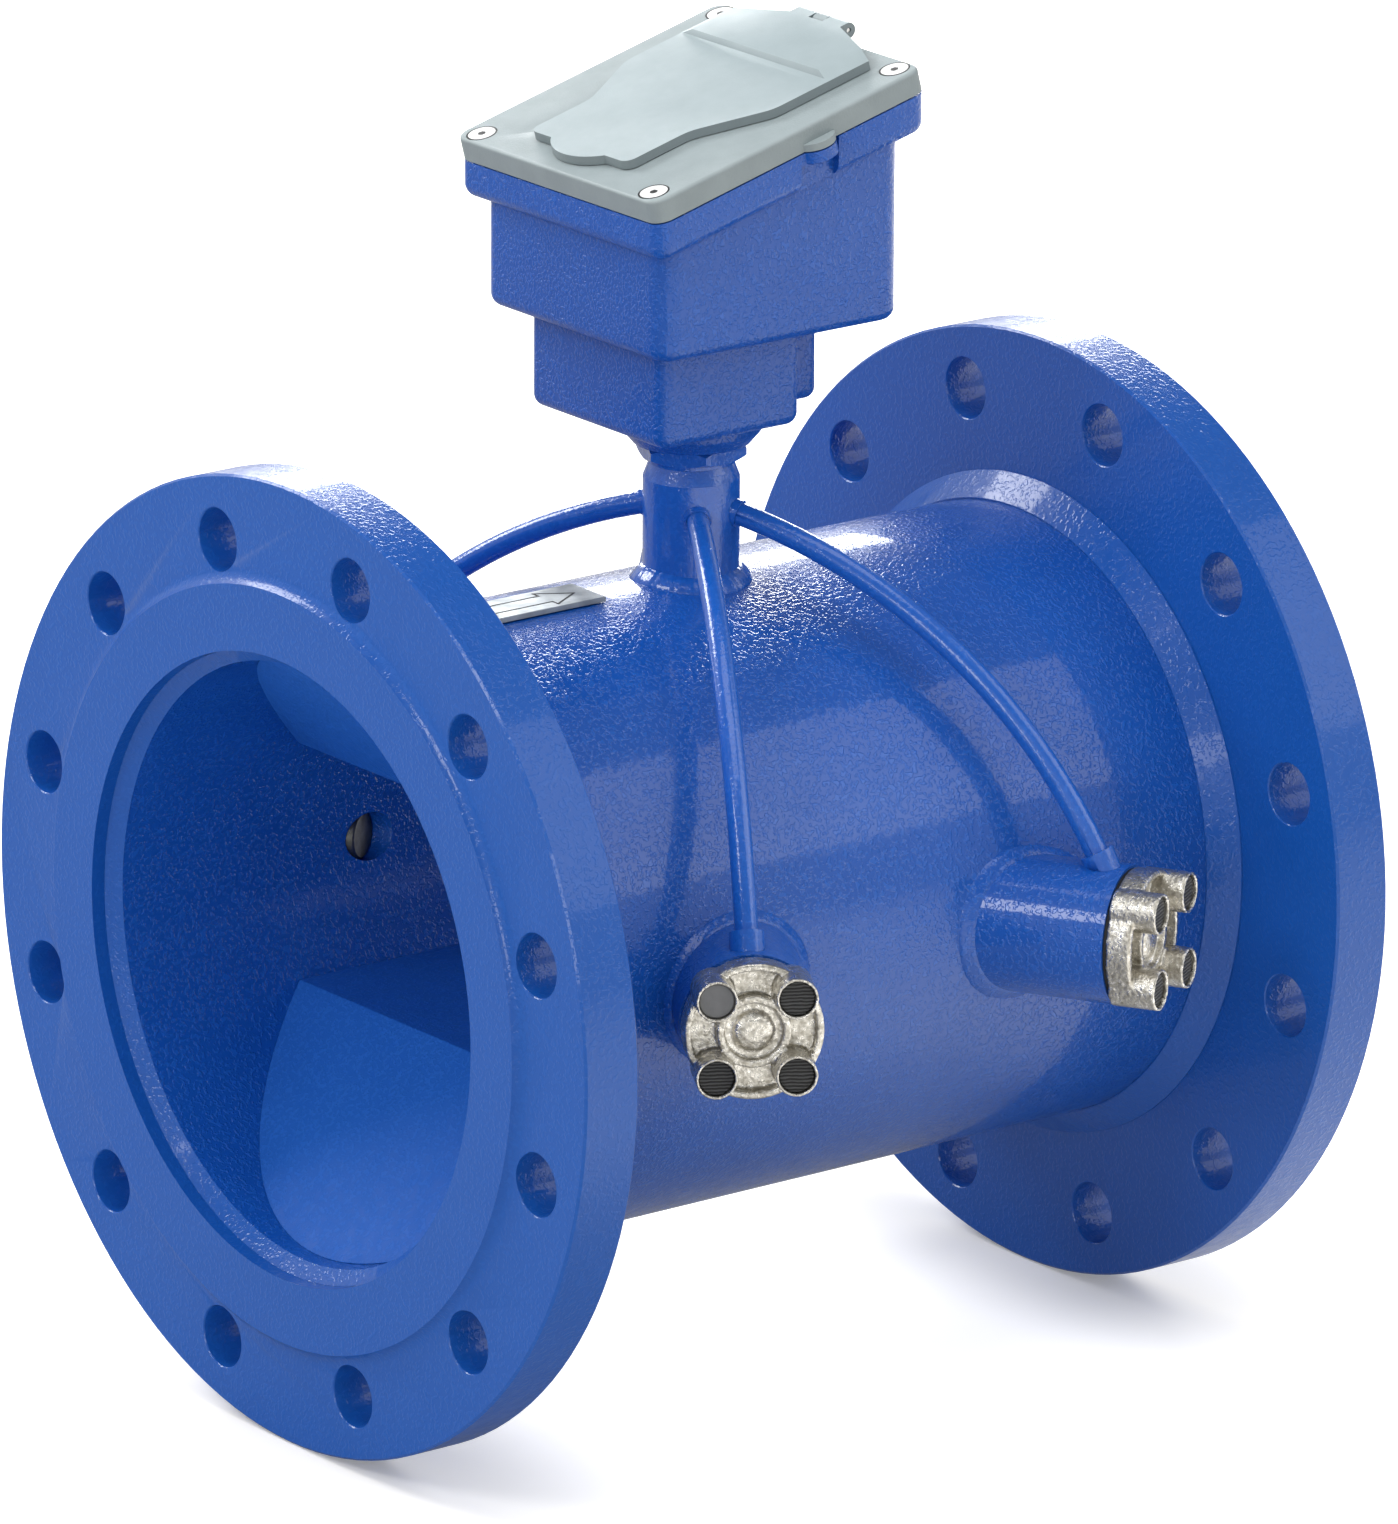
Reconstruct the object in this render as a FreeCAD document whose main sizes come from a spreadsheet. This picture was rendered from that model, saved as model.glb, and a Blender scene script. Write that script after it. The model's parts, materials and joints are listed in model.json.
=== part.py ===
import FreeCAD, Part
import math
import os
import Sketcher
from FreeCAD import Placement, Rotation, Vector

# Flanged ultrasonic flow meter, DN 200, two crossing measuring paths, with a register head.
# Origin: centre of the inlet flange's sealing face. +X runs with the flow, +Z up through the
# head. Millimetres and degrees throughout.

doc = FreeCAD.newDocument("ultrasonic_flow_meter")

# ---------------------------------------------------------------- driving sizes
SIZES = {
    # measuring pipe and flow body
    "body_length": 350,        # sealing face to sealing face
    "pipe_od": 219.1,
    "pipe_wall": 4.5,
    "pipe_setback": 9.5,       # pipe end behind the sealing face
    "seat_gap": 0.05,          # play left between pieces that are fitted face to face
    # flanges
    "flange_od": 340,
    "flange_plate": 22,
    "bore_play": 0.45,         # the flange slips over the pipe with this play all round
    "bolt_inset": 22.5,        # bolt holes' middles in from the flange's edge
    "bolt_hole": 22,
    "bolt_count": 12,
    "face_inset": 37,          # raised face in from the flange's edge
    "face_height": 3,
    "face_cove": 5,            # width of the hollow foot of the raised face
    "edge_break": 0.8,
    "weld_leg": 9,             # fillet weld behind each flange
    "inner_weld_depth": 4.2,   # fillet weld at the pipe's end, inside the flange bore
    # bent plates that narrow the channel
    "channel_half": 43,
    "channel_flat": 194.8,
    "channel_ramp": 45,        # degrees
    "channel_plate": 4,
    # transducer wells
    "path_angle": 30,          # degrees between each well and the crosswise direction
    "port_bore": 17.5,
    "well_od": 48.3,
    "well_reach": 35.5,        # how far a well's end stands out of the pipe, along the well
    "mouth_depth": 16,         # depth of the transducer's seat below the well's end
    "well_counterbore": 30,
    "well_weld_leg": 4.6,
    "transducer_setback": 2.2,
    "transducer_play": 0.4,
    "collar_height": 5,
    "seal_thickness": 1,
    # well caps
    "cap_gasket": 1.2,
    "cap_od": 47.6,
    "cap_rim_height": 8.8,
    "cap_rim_wall": 2.5,
    "cap_floor": 4.2,
    "cap_ring_od": 25.2,
    "cap_ring_wall": 2.6,
    "cap_dome_od": 14.4,
    "cap_dome_height": 8.4,
    "cap_groove_floor": 6.2,
    "boss_pitch": 27.06,
    "boss_od": 14.3,
    "boss_wall": 1,
    "boss_height": 16.8,
    "cap_screw": 5,
    "cap_screw_head": 8.5,
    "cap_screw_grip": 10,      # how far a cap screw reaches into the well
    "plug_recess": 1.4,
    "plug_length": 5.5,
    # cable conduits
    "conduit_od": 8,
    "conduit_wall": 1,
    "conduit_drop": 16.9,      # where a conduit leaves the neck, below the neck's top
    "conduit_inset": 9.5,      # its foot in from the well's end
    "conduit_sweep": 50,       # degrees that a conduit turns through
    "conduit_weld": 2,
    "conduit_neck_weld": 0.8,
    # neck and lock nut
    "neck_od": 33.5,
    "neck_wall": 2.6,
    "neck_rise": 40.85,        # neck's top above the pipe
    "neck_chamfer": 2.1,
    "neck_chamfer_height": 5.4,
    "neck_weld_leg": 4.4,
    "nut_flats": 34,
    "nut_height": 7.2,
    "nut_collar": 1.6,         # height of the round collar under the nut's flats
    "nut_collar_od": 30.6,
    "nut_turn": 7.65,          # degrees that the nut's corners are turned from +X
    # register head: a tilted rim over two stepped boxes
    "head_tilt": 14.8,         # degrees
    "foot_rise": 17.9,         # low box's underside above the neck's top
    "low_height": 34.7,        # middle box's underside above the low box's
    "mid_height": 65.8,        # lid joint, over the neck, above the middle box's underside
    "head_wall": 3.5,
    "rim_length": 114.5,
    "rim_width": 114,
    "rim_height": 14,
    "rim_corner": 6,
    "step_long": 5.75,         # middle box's walls in from the rim's
    "step_wide": 5.8,
    "mid_corner": 8,
    "low_front": 41.5,
    "low_back": 18.7,
    "low_width": 76,
    "low_corner": 5,
    "outlet_block_reach": 43,
    "outlet_block_width": 32,
    "bottom_round": 4.5,
    "spigot_od": 27.8,
    "spigot_bore": 20,
    "spigot_depth": 9.5,
    "cone_od": 49,
    "cone_foot_od": 41,
    "cone_foot": 1,
    "cone_height": 4,
    "ear_radius": 7.5,
    "ear_offset": 11.1,
    "ear_reach": 4.3,
    "ear_depth": 4,
    "ear_pocket_left": 8.1,
    "ear_pocket_right": 7.6,
    "ear_pocket_depth": 3,
    # lid, window and what they cover
    "lid_thickness": 8.3,
    "lid_skin": 3,
    "lid_edge_round": 1.4,
    "lid_ear_height": 2.6,
    "lid_land": 9.5,
    "gasket_thickness": 0.5,
    "gasket_inset": 2.5,
    "window_front": 36,
    "window_back": 16,
    "window_width": 48,
    "window_lap": 3,
    "pane_thickness": 2,
    "display_depth": 5,
    "board_thickness": 1.6,
    "board_drop": 5,
    "board_margin": 12,
    "spacer_od": 6,
    # lid screws
    "screw_inset_long": 6.365,
    "screw_inset_wide": 8.45,
    "screw_head": 10.6,
    "screw_head_height": 2.4,
    "screw_shank": 4,
    "screw_length": 16,
    "screw_hex": 2.5,
    # hinged cover flap
    "flap_front": 47.3,
    "flap_front_width": 55,
    "flap_back_width": 83,
    "flap_waist_start": -20,
    "flap_waist_end": 6,
    "flap_waist_round": 14,
    "flap_corner": 4,
    "flap_thickness": 3.3,
    "flap_lift": 0.3,          # running gap between the flap and the lid
    "tab_radius": 21,
    "tab_reach": 6.4,
    "hood_front": 31.4,
    "hood_side": 50,
    "hood_width": 70.8,
    "hood_sweep": 4.4,         # how far the hood's hollow front foot runs forward
    "hood_wall": 2,
    "hinge_overhang": 2.09,    # hinge line past the lid's outlet edge
    "hinge_height": 3.3,
    "knuckle_od": 5.6,
    "knuckle_width": 28,
    "lug_width": 6.8,
    "hinge_play": 0.4,
    "pin_od": 1.8,
    "pin_play": 0.04,
    # parts inside the head
    "cell_od": 33,
    "cell_length": 60,
    "cradle_base": 3,
    "cradle_width": 40,
    "terminal_length": 30,
    "terminal_width": 40,
    "terminal_height": 12,
    # cable gland on the low box
    "gland_offset": 25,
    "gland_rise": 18.7,        # above the low box's underside
    "gland_hole": 10,
    "gland_flats": 15,
    "gland_flange": 5,
    "gland_dome_od": 14,
    "gland_dome_height": 9,
    "gland_insert_od": 7,
    # flow arrow plate on the pipe
    "plate_length": 80,
    "plate_width": 19.4,
    "plate_thickness": 1.9,
    "plate_end": 43.7,         # distance of its near end from the meter's middle
}

# Sizes that follow from the ones above; distances from the meter's centre and heights over
# the pipe's axis belong here, so that the pieces keep their seats when one size changes.
FOLLOWING = {
    "flange_bore": "pipe_od + 2 * bore_play",
    "bolt_circle": "flange_od - 2 * bolt_inset",
    "face_od": "flange_od - 2 * face_inset",
    "well_end": "pipe_od / 2 / cos(path_angle) + well_reach",
    "well_seat": "well_end - mouth_depth",
    "conduit_foot": "well_end - conduit_inset",
    "neck_top": "pipe_od / 2 + neck_rise",
    "conduit_top": "neck_top - conduit_drop",
    "low_bottom": "neck_top + foot_rise",
    "mid_bottom": "low_bottom + low_height",
    "head_joint": "mid_bottom + mid_height",
    "gland_height": "low_bottom + gland_rise",
    "mid_length": "rim_length - 2 * step_long",
    "mid_width": "rim_width - 2 * step_wide",
    "lid_length": "rim_length / cos(head_tilt)",
    "screw_pitch_long": "lid_length - 2 * screw_inset_long",
    "screw_pitch_wide": "rim_width - 2 * screw_inset_wide",
    "hinge_offset": "lid_length / 2 + hinge_overhang",
}

sheet = doc.addObject("Spreadsheet::Sheet", "Sizes")
for row, alias in enumerate(list(SIZES) + list(FOLLOWING), start=1):
    sheet.set("A%d" % row, alias)
    sheet.set("B%d" % row, str(SIZES.get(alias, 0)))
    sheet.setAlias("B%d" % row, alias)
for row, formula in enumerate(FOLLOWING.values(), start=len(SIZES) + 1):
    sheet.set("B%d" % row, "=" + formula)
doc.recompute()


def size(alias):
    """A driving size, read back from the sheet."""
    return float(sheet.get(alias))


def bound(text):
    """An expression in which every driving size is named by its place in the sheet."""
    words = []
    word = ""
    for letter in text + " ":
        if letter.isalnum() or letter == "_":
            word += letter
            continue
        if word in SIZES or word in FOLLOWING:
            word = "Sizes." + word
        words.append(word + letter)
        word = ""
    return "".join(words).strip()


# ---------------------------------------------------------------- small builders
def new_body(label, placement=None):
    body = doc.addObject("PartDesign::Body", label)
    body.Label = label
    if placement is not None:
        body.Placement = placement
    return body


def outline(body, role, label, points, lift=None):
    """A closed outline of straight sides whose corners are pairs of expressions."""
    sketch = body.newObject("Sketcher::SketchObject", label)
    plane = [item for item in body.Origin.OriginFeatures if item.Role == role][0]
    sketch.AttachmentSupport = [(plane, "")]
    sketch.MapMode = "FlatFace"
    if lift is not None:
        sketch.setExpression("AttachmentOffset.Base.z", bound(lift))
    count = len(points)
    rough = [Vector(100 * math.cos(2 * math.pi * i / count), 100 * math.sin(2 * math.pi * i / count), 0)
             for i in range(count)]
    for i in range(count):
        sketch.addGeometry(Part.LineSegment(rough[i], rough[(i + 1) % count]))
    for i in range(count):
        sketch.addConstraint(Sketcher.Constraint("Coincident", i, 2, (i + 1) % count, 1))
    for i, pair in enumerate(points):
        for kind, text, start in zip(("DistanceX", "DistanceY"), pair, (rough[i].x, rough[i].y)):
            number = sketch.addConstraint(Sketcher.Constraint(kind, -1, 1, i, 1, start))
            sketch.setExpression("Constraints[%d]" % number, bound(text))
    return sketch


def circles(body, role, label, rings, lift=None):
    """Full circles, each given as (x, y, radius) expressions."""
    sketch = body.newObject("Sketcher::SketchObject", label)
    plane = [item for item in body.Origin.OriginFeatures if item.Role == role][0]
    sketch.AttachmentSupport = [(plane, "")]
    sketch.MapMode = "FlatFace"
    if lift is not None:
        sketch.setExpression("AttachmentOffset.Base.z", bound(lift))
    for i, (x, y, radius) in enumerate(rings):
        sketch.addGeometry(Part.Circle(Vector(10, 10, 0), Vector(0, 0, 1), 5))
        for kind, text in (("DistanceX", x), ("DistanceY", y)):
            number = sketch.addConstraint(Sketcher.Constraint(kind, -1, 1, i, 3, 10))
            sketch.setExpression("Constraints[%d]" % number, bound(text))
        number = sketch.addConstraint(Sketcher.Constraint("Radius", i, 5))
        sketch.setExpression("Constraints[%d]" % number, bound(radius))
    return sketch


def pad(body, sketch, length, symmetric=False, flip=False, pocket=False):
    kind = "PartDesign::Pocket" if pocket else "PartDesign::Pad"
    feature = body.newObject(kind, sketch.Name + ("_cut" if pocket else "_pad"))
    feature.Profile = sketch
    feature.setExpression("Length", bound(length))
    if symmetric:
        feature.SideType = "Symmetric"
    feature.Reversed = flip
    sketch.Visibility = False
    return feature


def cut(body, sketch, length, symmetric=False, flip=False):
    return pad(body, sketch, length, symmetric, flip, pocket=True)


def spin(body, sketch, axis="V_Axis", angle=None, groove=False):
    """Turn an outline about one of its own axes."""
    kind = "PartDesign::Groove" if groove else "PartDesign::Revolution"
    feature = body.newObject(kind, sketch.Name + "_turned")
    feature.Profile = sketch
    feature.ReferenceAxis = (sketch, [axis])
    feature.Angle = 360 if angle is None else angle
    return feature


def turned(label, points, placement=None, axis="V_Axis"):
    """A turned piece: its section is drawn in XZ and spun about Z, or X for H_Axis."""
    body = new_body(label, placement)
    section = outline(body, "XZ_Plane", label + "_section", points)
    spin(body, section, axis)
    return body


def edges_where(feature, test):
    """The names of a feature's edges that pass a test."""
    doc.recompute()
    return ["Edge%d" % (i + 1) for i, edge in enumerate(feature.Shape.Edges) if test(edge)]


def round_edges(body, feature, label, radius, test, kind="PartDesign::Fillet"):
    names = edges_where(feature, test)
    if not names:
        raise RuntimeError("no edge to round for " + label)
    rounded = body.newObject(kind, label)
    rounded.Base = (feature, names)
    prop = "Radius" if kind.endswith("Fillet") else "Size"
    rounded.setExpression(prop, bound(radius))
    return rounded


def upright(edge, tolerance=1e-6):
    first, last = edge.Vertexes[0].Point, edge.Vertexes[-1].Point
    level = math.hypot(first.x - last.x, first.y - last.y)
    return len(edge.Vertexes) == 2 and level < tolerance and abs(first.z - last.z) > tolerance


def cylinder(label, radius, height, placement):
    item = doc.addObject("Part::Cylinder", label)
    item.Label = label
    item.setExpression("Radius", bound(radius))
    item.setExpression("Height", bound(height))
    item.Placement = placement
    return item


def box(label, length, width, height, placement):
    item = doc.addObject("Part::Box", label)
    item.Label = label
    item.setExpression("Length", bound(length))
    item.setExpression("Width", bound(width))
    item.setExpression("Height", bound(height))
    item.Placement = placement
    return item


def less(label, base, *tools):
    """The base with every tool cut away."""
    if len(tools) > 1:
        joined = doc.addObject("Part::MultiFuse", label + "_tools")
        joined.Shapes = list(tools)
        tool = joined
    else:
        tool = tools[0]
    item = doc.addObject("Part::Cut", label)
    item.Label = label
    item.Base = base
    item.Tool = tool
    return item


def shared(label, first, second):
    item = doc.addObject("Part::MultiCommon", label)
    item.Label = label
    item.Shapes = [first, second]
    return item


def group(label, master, placements):
    """Copies of one piece, kept together as separate solids of one node."""
    copies = []
    for i, placement in enumerate(placements):
        copy = doc.addObject("App::Link", "%s_%d" % (label, i + 1))
        copy.LinkedObject = master
        copy.LinkTransform = False
        copy.Placement = placement
        copies.append(copy)
    item = doc.addObject("Part::Compound", label)
    item.Label = label
    item.Links = copies
    return item


# ---------------------------------------------------------------- places shared by several pieces
MIDDLE = size("body_length") / 2
PIPE_RADIUS = size("pipe_od") / 2
WELLS = {"inlet_near": 270 - size("path_angle"), "outlet_near": 270 + size("path_angle"),
         "inlet_far": 90 + size("path_angle"), "outlet_far": 90 - size("path_angle")}


def along_x(x):
    """Local Z along +X, from the given station on the pipe's axis."""
    return Placement(Vector(x, 0, 0), Rotation(Vector(0, 1, 0), 90))


def well_place(azimuth, distance=0.0, sideways=0.0, height=0.0):
    """Local Z out along a well, local Y up."""
    turn = math.radians(azimuth)
    out = Vector(math.cos(turn), math.sin(turn), 0)
    across = Vector(-math.sin(turn), math.cos(turn), 0)
    place = Vector(MIDDLE, 0, height) + out * distance + across * sideways
    return Placement(place, Rotation(across, Vector(0, 0, 1), out, "ZXY"))


def head_place(height=0.0):
    """Local X down the lid's slope line towards the outlet side, local Z square to the lid."""
    tilt = Rotation(Vector(0, 1, 0), -size("head_tilt"))
    return Placement(Vector(MIDDLE, 0, size("head_joint")) + tilt.multVec(Vector(0, 0, height)), tilt)


PARTS = []


def keep(item):
    """One finished piece, written out under its own label."""
    PARTS.append(item)
    return item


# ---------------------------------------------------------------- measuring pipe and flanges
def pipe_core(label, radius, start="pipe_setback", length="body_length - 2 * pipe_setback"):
    return cylinder(label, radius, length, along_x(size(start)))


def flange(label, placement):
    body = new_body(label, placement)
    rise = "face_height"
    span = "face_cove"
    curve = "(face_height * face_height + face_cove * face_cove) / (2 * face_height)"
    rim = "face_od / 2 + face_cove"
    cove = []
    for part in (1, 2, 3):
        angle = "asin(%s / (%s)) * %d / 4" % (span, curve, 4 - part)
        cove.append(("%s - (%s) * (1 - cos(%s))" % (rise, curve, angle),
                     "%s - (%s) * sin(%s)" % (rim, curve, angle)))
    back = "face_height + flange_plate"
    points = [("0", "flange_bore / 2"), ("0", "face_od / 2")] + cove + [
        (rise, rim), (rise, "flange_od / 2 - edge_break"),
        (rise + " + edge_break", "flange_od / 2"), (back + " - edge_break", "flange_od / 2"),
        (back, "flange_od / 2 - edge_break"), (back, "flange_bore / 2")]
    spin(body, outline(body, "XZ_Plane", label + "_section", points), "H_Axis")
    hole = circles(body, "YZ_Plane", label + "_hole",
                   [("bolt_circle / 2 * sin(180 / bolt_count)",
                     "bolt_circle / 2 * cos(180 / bolt_count)", "bolt_hole / 2")])
    drilled = cut(body, hole, "3 * (face_height + flange_plate)", symmetric=True)
    ring = body.newObject("PartDesign::PolarPattern", label + "_holes")
    ring.Originals = [drilled]
    ring.Axis = (hole, ["N_Axis"])
    ring.Angle = 360
    ring.setExpression("Occurrences", bound("bolt_count"))
    body.Tip = ring
    radius = size("bolt_hole") / 2
    round_edges(body, ring, label + "_hole_edges", "edge_break / 2",
                lambda edge: hasattr(edge.Curve, "Radius") and abs(edge.Curve.Radius - radius) < 1e-4,
                "PartDesign::Chamfer")
    return keep(body)


def flange_welds(side, placement):
    root = "pipe_od / 2 + seat_gap"
    back = "face_height + flange_plate + seat_gap"
    keep(turned(side + "_back_weld",
                [(back, root), (back, "pipe_od / 2 + weld_leg"), (back + " + 0.6", "pipe_od / 2 + weld_leg"),
                 (back + " + weld_leg", "pipe_od / 2 + 0.6"), (back + " + weld_leg", root)],
                placement, "H_Axis"))
    end = "pipe_setback - seat_gap"
    keep(turned(side + "_face_weld",
                [("pipe_setback - inner_weld_depth", "flange_bore / 2 - seat_gap"),
                 (end, "pipe_od / 2 - pipe_wall"), (end, "flange_bore / 2 - seat_gap")],
                placement, "H_Axis"))


def pipe_and_flanges():
    shell = less("pipe_shell", pipe_core("pipe_outside", "pipe_od / 2"),
                 cylinder("pipe_inside", "pipe_od / 2 - pipe_wall", "body_length", along_x(0)))
    ports = [cylinder("port_" + name, "port_bore / 2", "pipe_od", well_place(azimuth))
             for name, azimuth in WELLS.items()]
    keep(less("measuring_pipe", shell, *ports))
    ends = {"inlet": Placement(), "outlet": Placement(Vector(2 * MIDDLE, 0, 0), Rotation(180, 0, 0))}
    for side, placement in ends.items():
        flange(side + "_flange", placement)
        flange_welds(side, placement)


def flow_plate(label, placement):
    """A sheet bent down at both ends; it follows the pipe's wall where it meets it."""
    body = new_body(label + "_blank", placement)
    flat = "channel_flat / 2"
    rise = "(pipe_od / 2 - channel_half + 4)"
    out = "(%s + %s / tan(channel_ramp))" % (flat, rise)
    slant = "channel_plate / sin(channel_ramp)"
    bend = "channel_plate * tan(channel_ramp / 2)"
    low = "channel_half"
    high = "channel_half + " + rise
    points = [("-%s" % out, high), ("-%s" % flat, low), (flat, low), (out, high),
              ("%s - %s" % (out, slant), high), ("%s - %s" % (flat, bend), low + " + channel_plate"),
              ("%s - %s" % (bend, flat), low + " + channel_plate"), ("%s - %s" % (slant, out), high)]
    pad(body, outline(body, "XZ_Plane", label + "_section", points), "pipe_od", symmetric=True)
    fit = pipe_core(label + "_fit", "pipe_od / 2 - pipe_wall - seat_gap")
    return keep(shared(label, body, fit))


# ---------------------------------------------------------------- transducer wells
def conduit_arc(label, minor, place, before=0.0, after=0.0, sweep=None):
    """A curved rod along a conduit's line; place is the well's own vertical plane."""
    start = Vector(size("neck_od") / 2, size("conduit_top"), 0)
    end = Vector(size("conduit_foot"), size("well_od") / 2, 0)
    chord = end - start
    half = size("conduit_sweep") / 2
    radius = chord.Length / 2 / math.sin(math.radians(half))
    slope = math.degrees(math.atan2(chord.y, chord.x))
    first = slope - half + 90
    centre = end - Vector(math.cos(math.radians(first)), math.sin(math.radians(first)), 0) * radius
    turn = 2 * half if sweep is None else sweep
    arc = doc.addObject("Part::Torus", label)
    arc.Label = label
    arc.Radius1 = radius
    arc.setExpression("Radius2", bound(minor))
    arc.Angle3 = turn + before + after
    arc.Placement = place * Placement(centre, Rotation(Vector(0, 0, 1), first - before))
    return arc


def side_view(azimuth):
    """Local X out along a well, local Y up, origin at the meter's centre."""
    turn = math.radians(azimuth)
    out = Vector(math.cos(turn), math.sin(turn), 0)
    return Placement(Vector(MIDDLE, 0, 0), Rotation(out, Vector(0, 0, 1), Vector(), "XYZ"))


def well(name, azimuth):
    """A bored bar, cut to the pipe, with a wide mouth for the transducer."""
    place = well_place(azimuth)
    bar = cylinder(name + "_well_bar", "well_od / 2", "well_end", place)
    bore = cylinder(name + "_well_bore", "port_bore / 2", "well_end + 5", place)
    mouth = cylinder(name + "_well_mouth", "well_counterbore / 2", "well_end - well_seat + 5",
                     well_place(azimuth, size("well_seat")))
    pipe = pipe_core(name + "_well_saddle", "pipe_od / 2 + seat_gap")
    wire = conduit_arc(name + "_well_wire", "conduit_od / 2 - conduit_wall", side_view(azimuth), before=3.4)
    half = size("boss_pitch") / 2
    threads = [cylinder("%s_thread_%d%d" % (name, i, j), "cap_screw / 2 + seat_gap",
                        "cap_screw_grip + 5",
                        well_place(azimuth, size("well_end") - size("cap_screw_grip") - 1, i * half, j * half))
               for i in (-1, 1) for j in (-1, 1)]
    keep(less(name + "_well", bar, bore, mouth, pipe, wire, *threads))


def saddle_weld(label, radius, leg, placement, length):
    """A weld bead between a round bar and the pipe it stands on."""
    bead = shared(label + "_bead",
                  cylinder(label + "_around_bar", "%s + %s" % (radius, leg), length, placement),
                  pipe_core(label + "_around_pipe", "pipe_od / 2 + " + leg))
    return less(label, bead, cylinder(label + "_bar", radius + " + seat_gap", length, placement),
                pipe_core(label + "_pipe", "pipe_od / 2 + seat_gap"))


def transducer(name, azimuth):
    """A turned probe: a slim tip in the port, a collar on the seat and a plug for its lead."""
    face = "(pipe_od / 2 - pipe_wall) / cos(path_angle) + transducer_setback"
    tip = "port_bore / 2 - transducer_play"
    seat = "well_seat + seal_thickness + seat_gap"
    collar = "well_counterbore / 2 - transducer_play"
    top = "well_end - 3"
    points = [("0", face), (tip + " - 0.6", face), (tip, face + " + 0.6"), (tip, seat), (collar, seat),
              (collar, seat + " + collar_height"), ("collar_height + 1", seat + " + collar_height"),
              ("collar_height + 1", top), ("0", top)]
    keep(turned(name + "_transducer", points, well_place(azimuth)))


def cap(name, azimuth):
    """A cast cap: dished face, raised ring, low dome and four hollow bosses."""
    body = new_body(name + "_cap", well_place(azimuth, size("well_end") + size("cap_gasket")))
    label = name + "_cap"
    outer = "cap_od / 2"
    wall = "cap_od / 2 - cap_rim_wall"
    ring = "cap_ring_od / 2"
    inner = "cap_ring_od / 2 - cap_ring_wall"
    points = [("0", "0"), (outer, "0"), (outer, "cap_rim_height - 0.6"), (outer + " - 0.6", "cap_rim_height"),
              (wall, "cap_rim_height"), (wall, "cap_floor"), (ring, "cap_floor"),
              (ring, "cap_rim_height"), (inner, "cap_rim_height"), (inner, "cap_groove_floor"),
              ("cap_dome_od / 2", "cap_groove_floor"), ("cap_dome_od / 2 * 0.86", "cap_dome_height - 0.8"),
              ("cap_dome_od / 2 * 0.5", "cap_dome_height - 0.1"), ("0", "cap_dome_height")]
    spin(body, outline(body, "XZ_Plane", label + "_section", points))
    half = "boss_pitch / 2"
    corners = [("-" + half, "-" + half), (half, "-" + half), (half, half), ("-" + half, half)]
    pad(body, circles(body, "XY_Plane", label + "_bosses", [(x, y, "boss_od / 2") for x, y in corners]),
        "boss_height")
    wells = circles(body, "XY_Plane", label + "_cups",
                    [(x, y, "boss_od / 2 - boss_wall") for x, y in corners], lift="boss_height")
    cut(body, wells, "boss_height - cap_floor")
    holes = circles(body, "XY_Plane", label + "_holes",
                    [(x, y, "cap_screw / 2 + 0.2") for x, y in corners], lift="boss_height")
    body.Tip = cut(body, holes, "boss_height + 5")
    keep(body)


def boss_places(depth, chosen):
    """Where the pieces in the caps' bosses sit; depth is measured from the meter's centre."""
    half = size("boss_pitch") / 2
    places = []
    for name, azimuth in WELLS.items():
        for i in (-1, 1):
            for j in (-1, 1):
                if chosen(name, i, j):
                    places.append(well_place(azimuth, depth, i * half, j * half))
    return places


def sealed(name, i, j):
    """The one boss that carries the flat grey seal."""
    return name == "inlet_near" and i < 0 and j > 0


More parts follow.
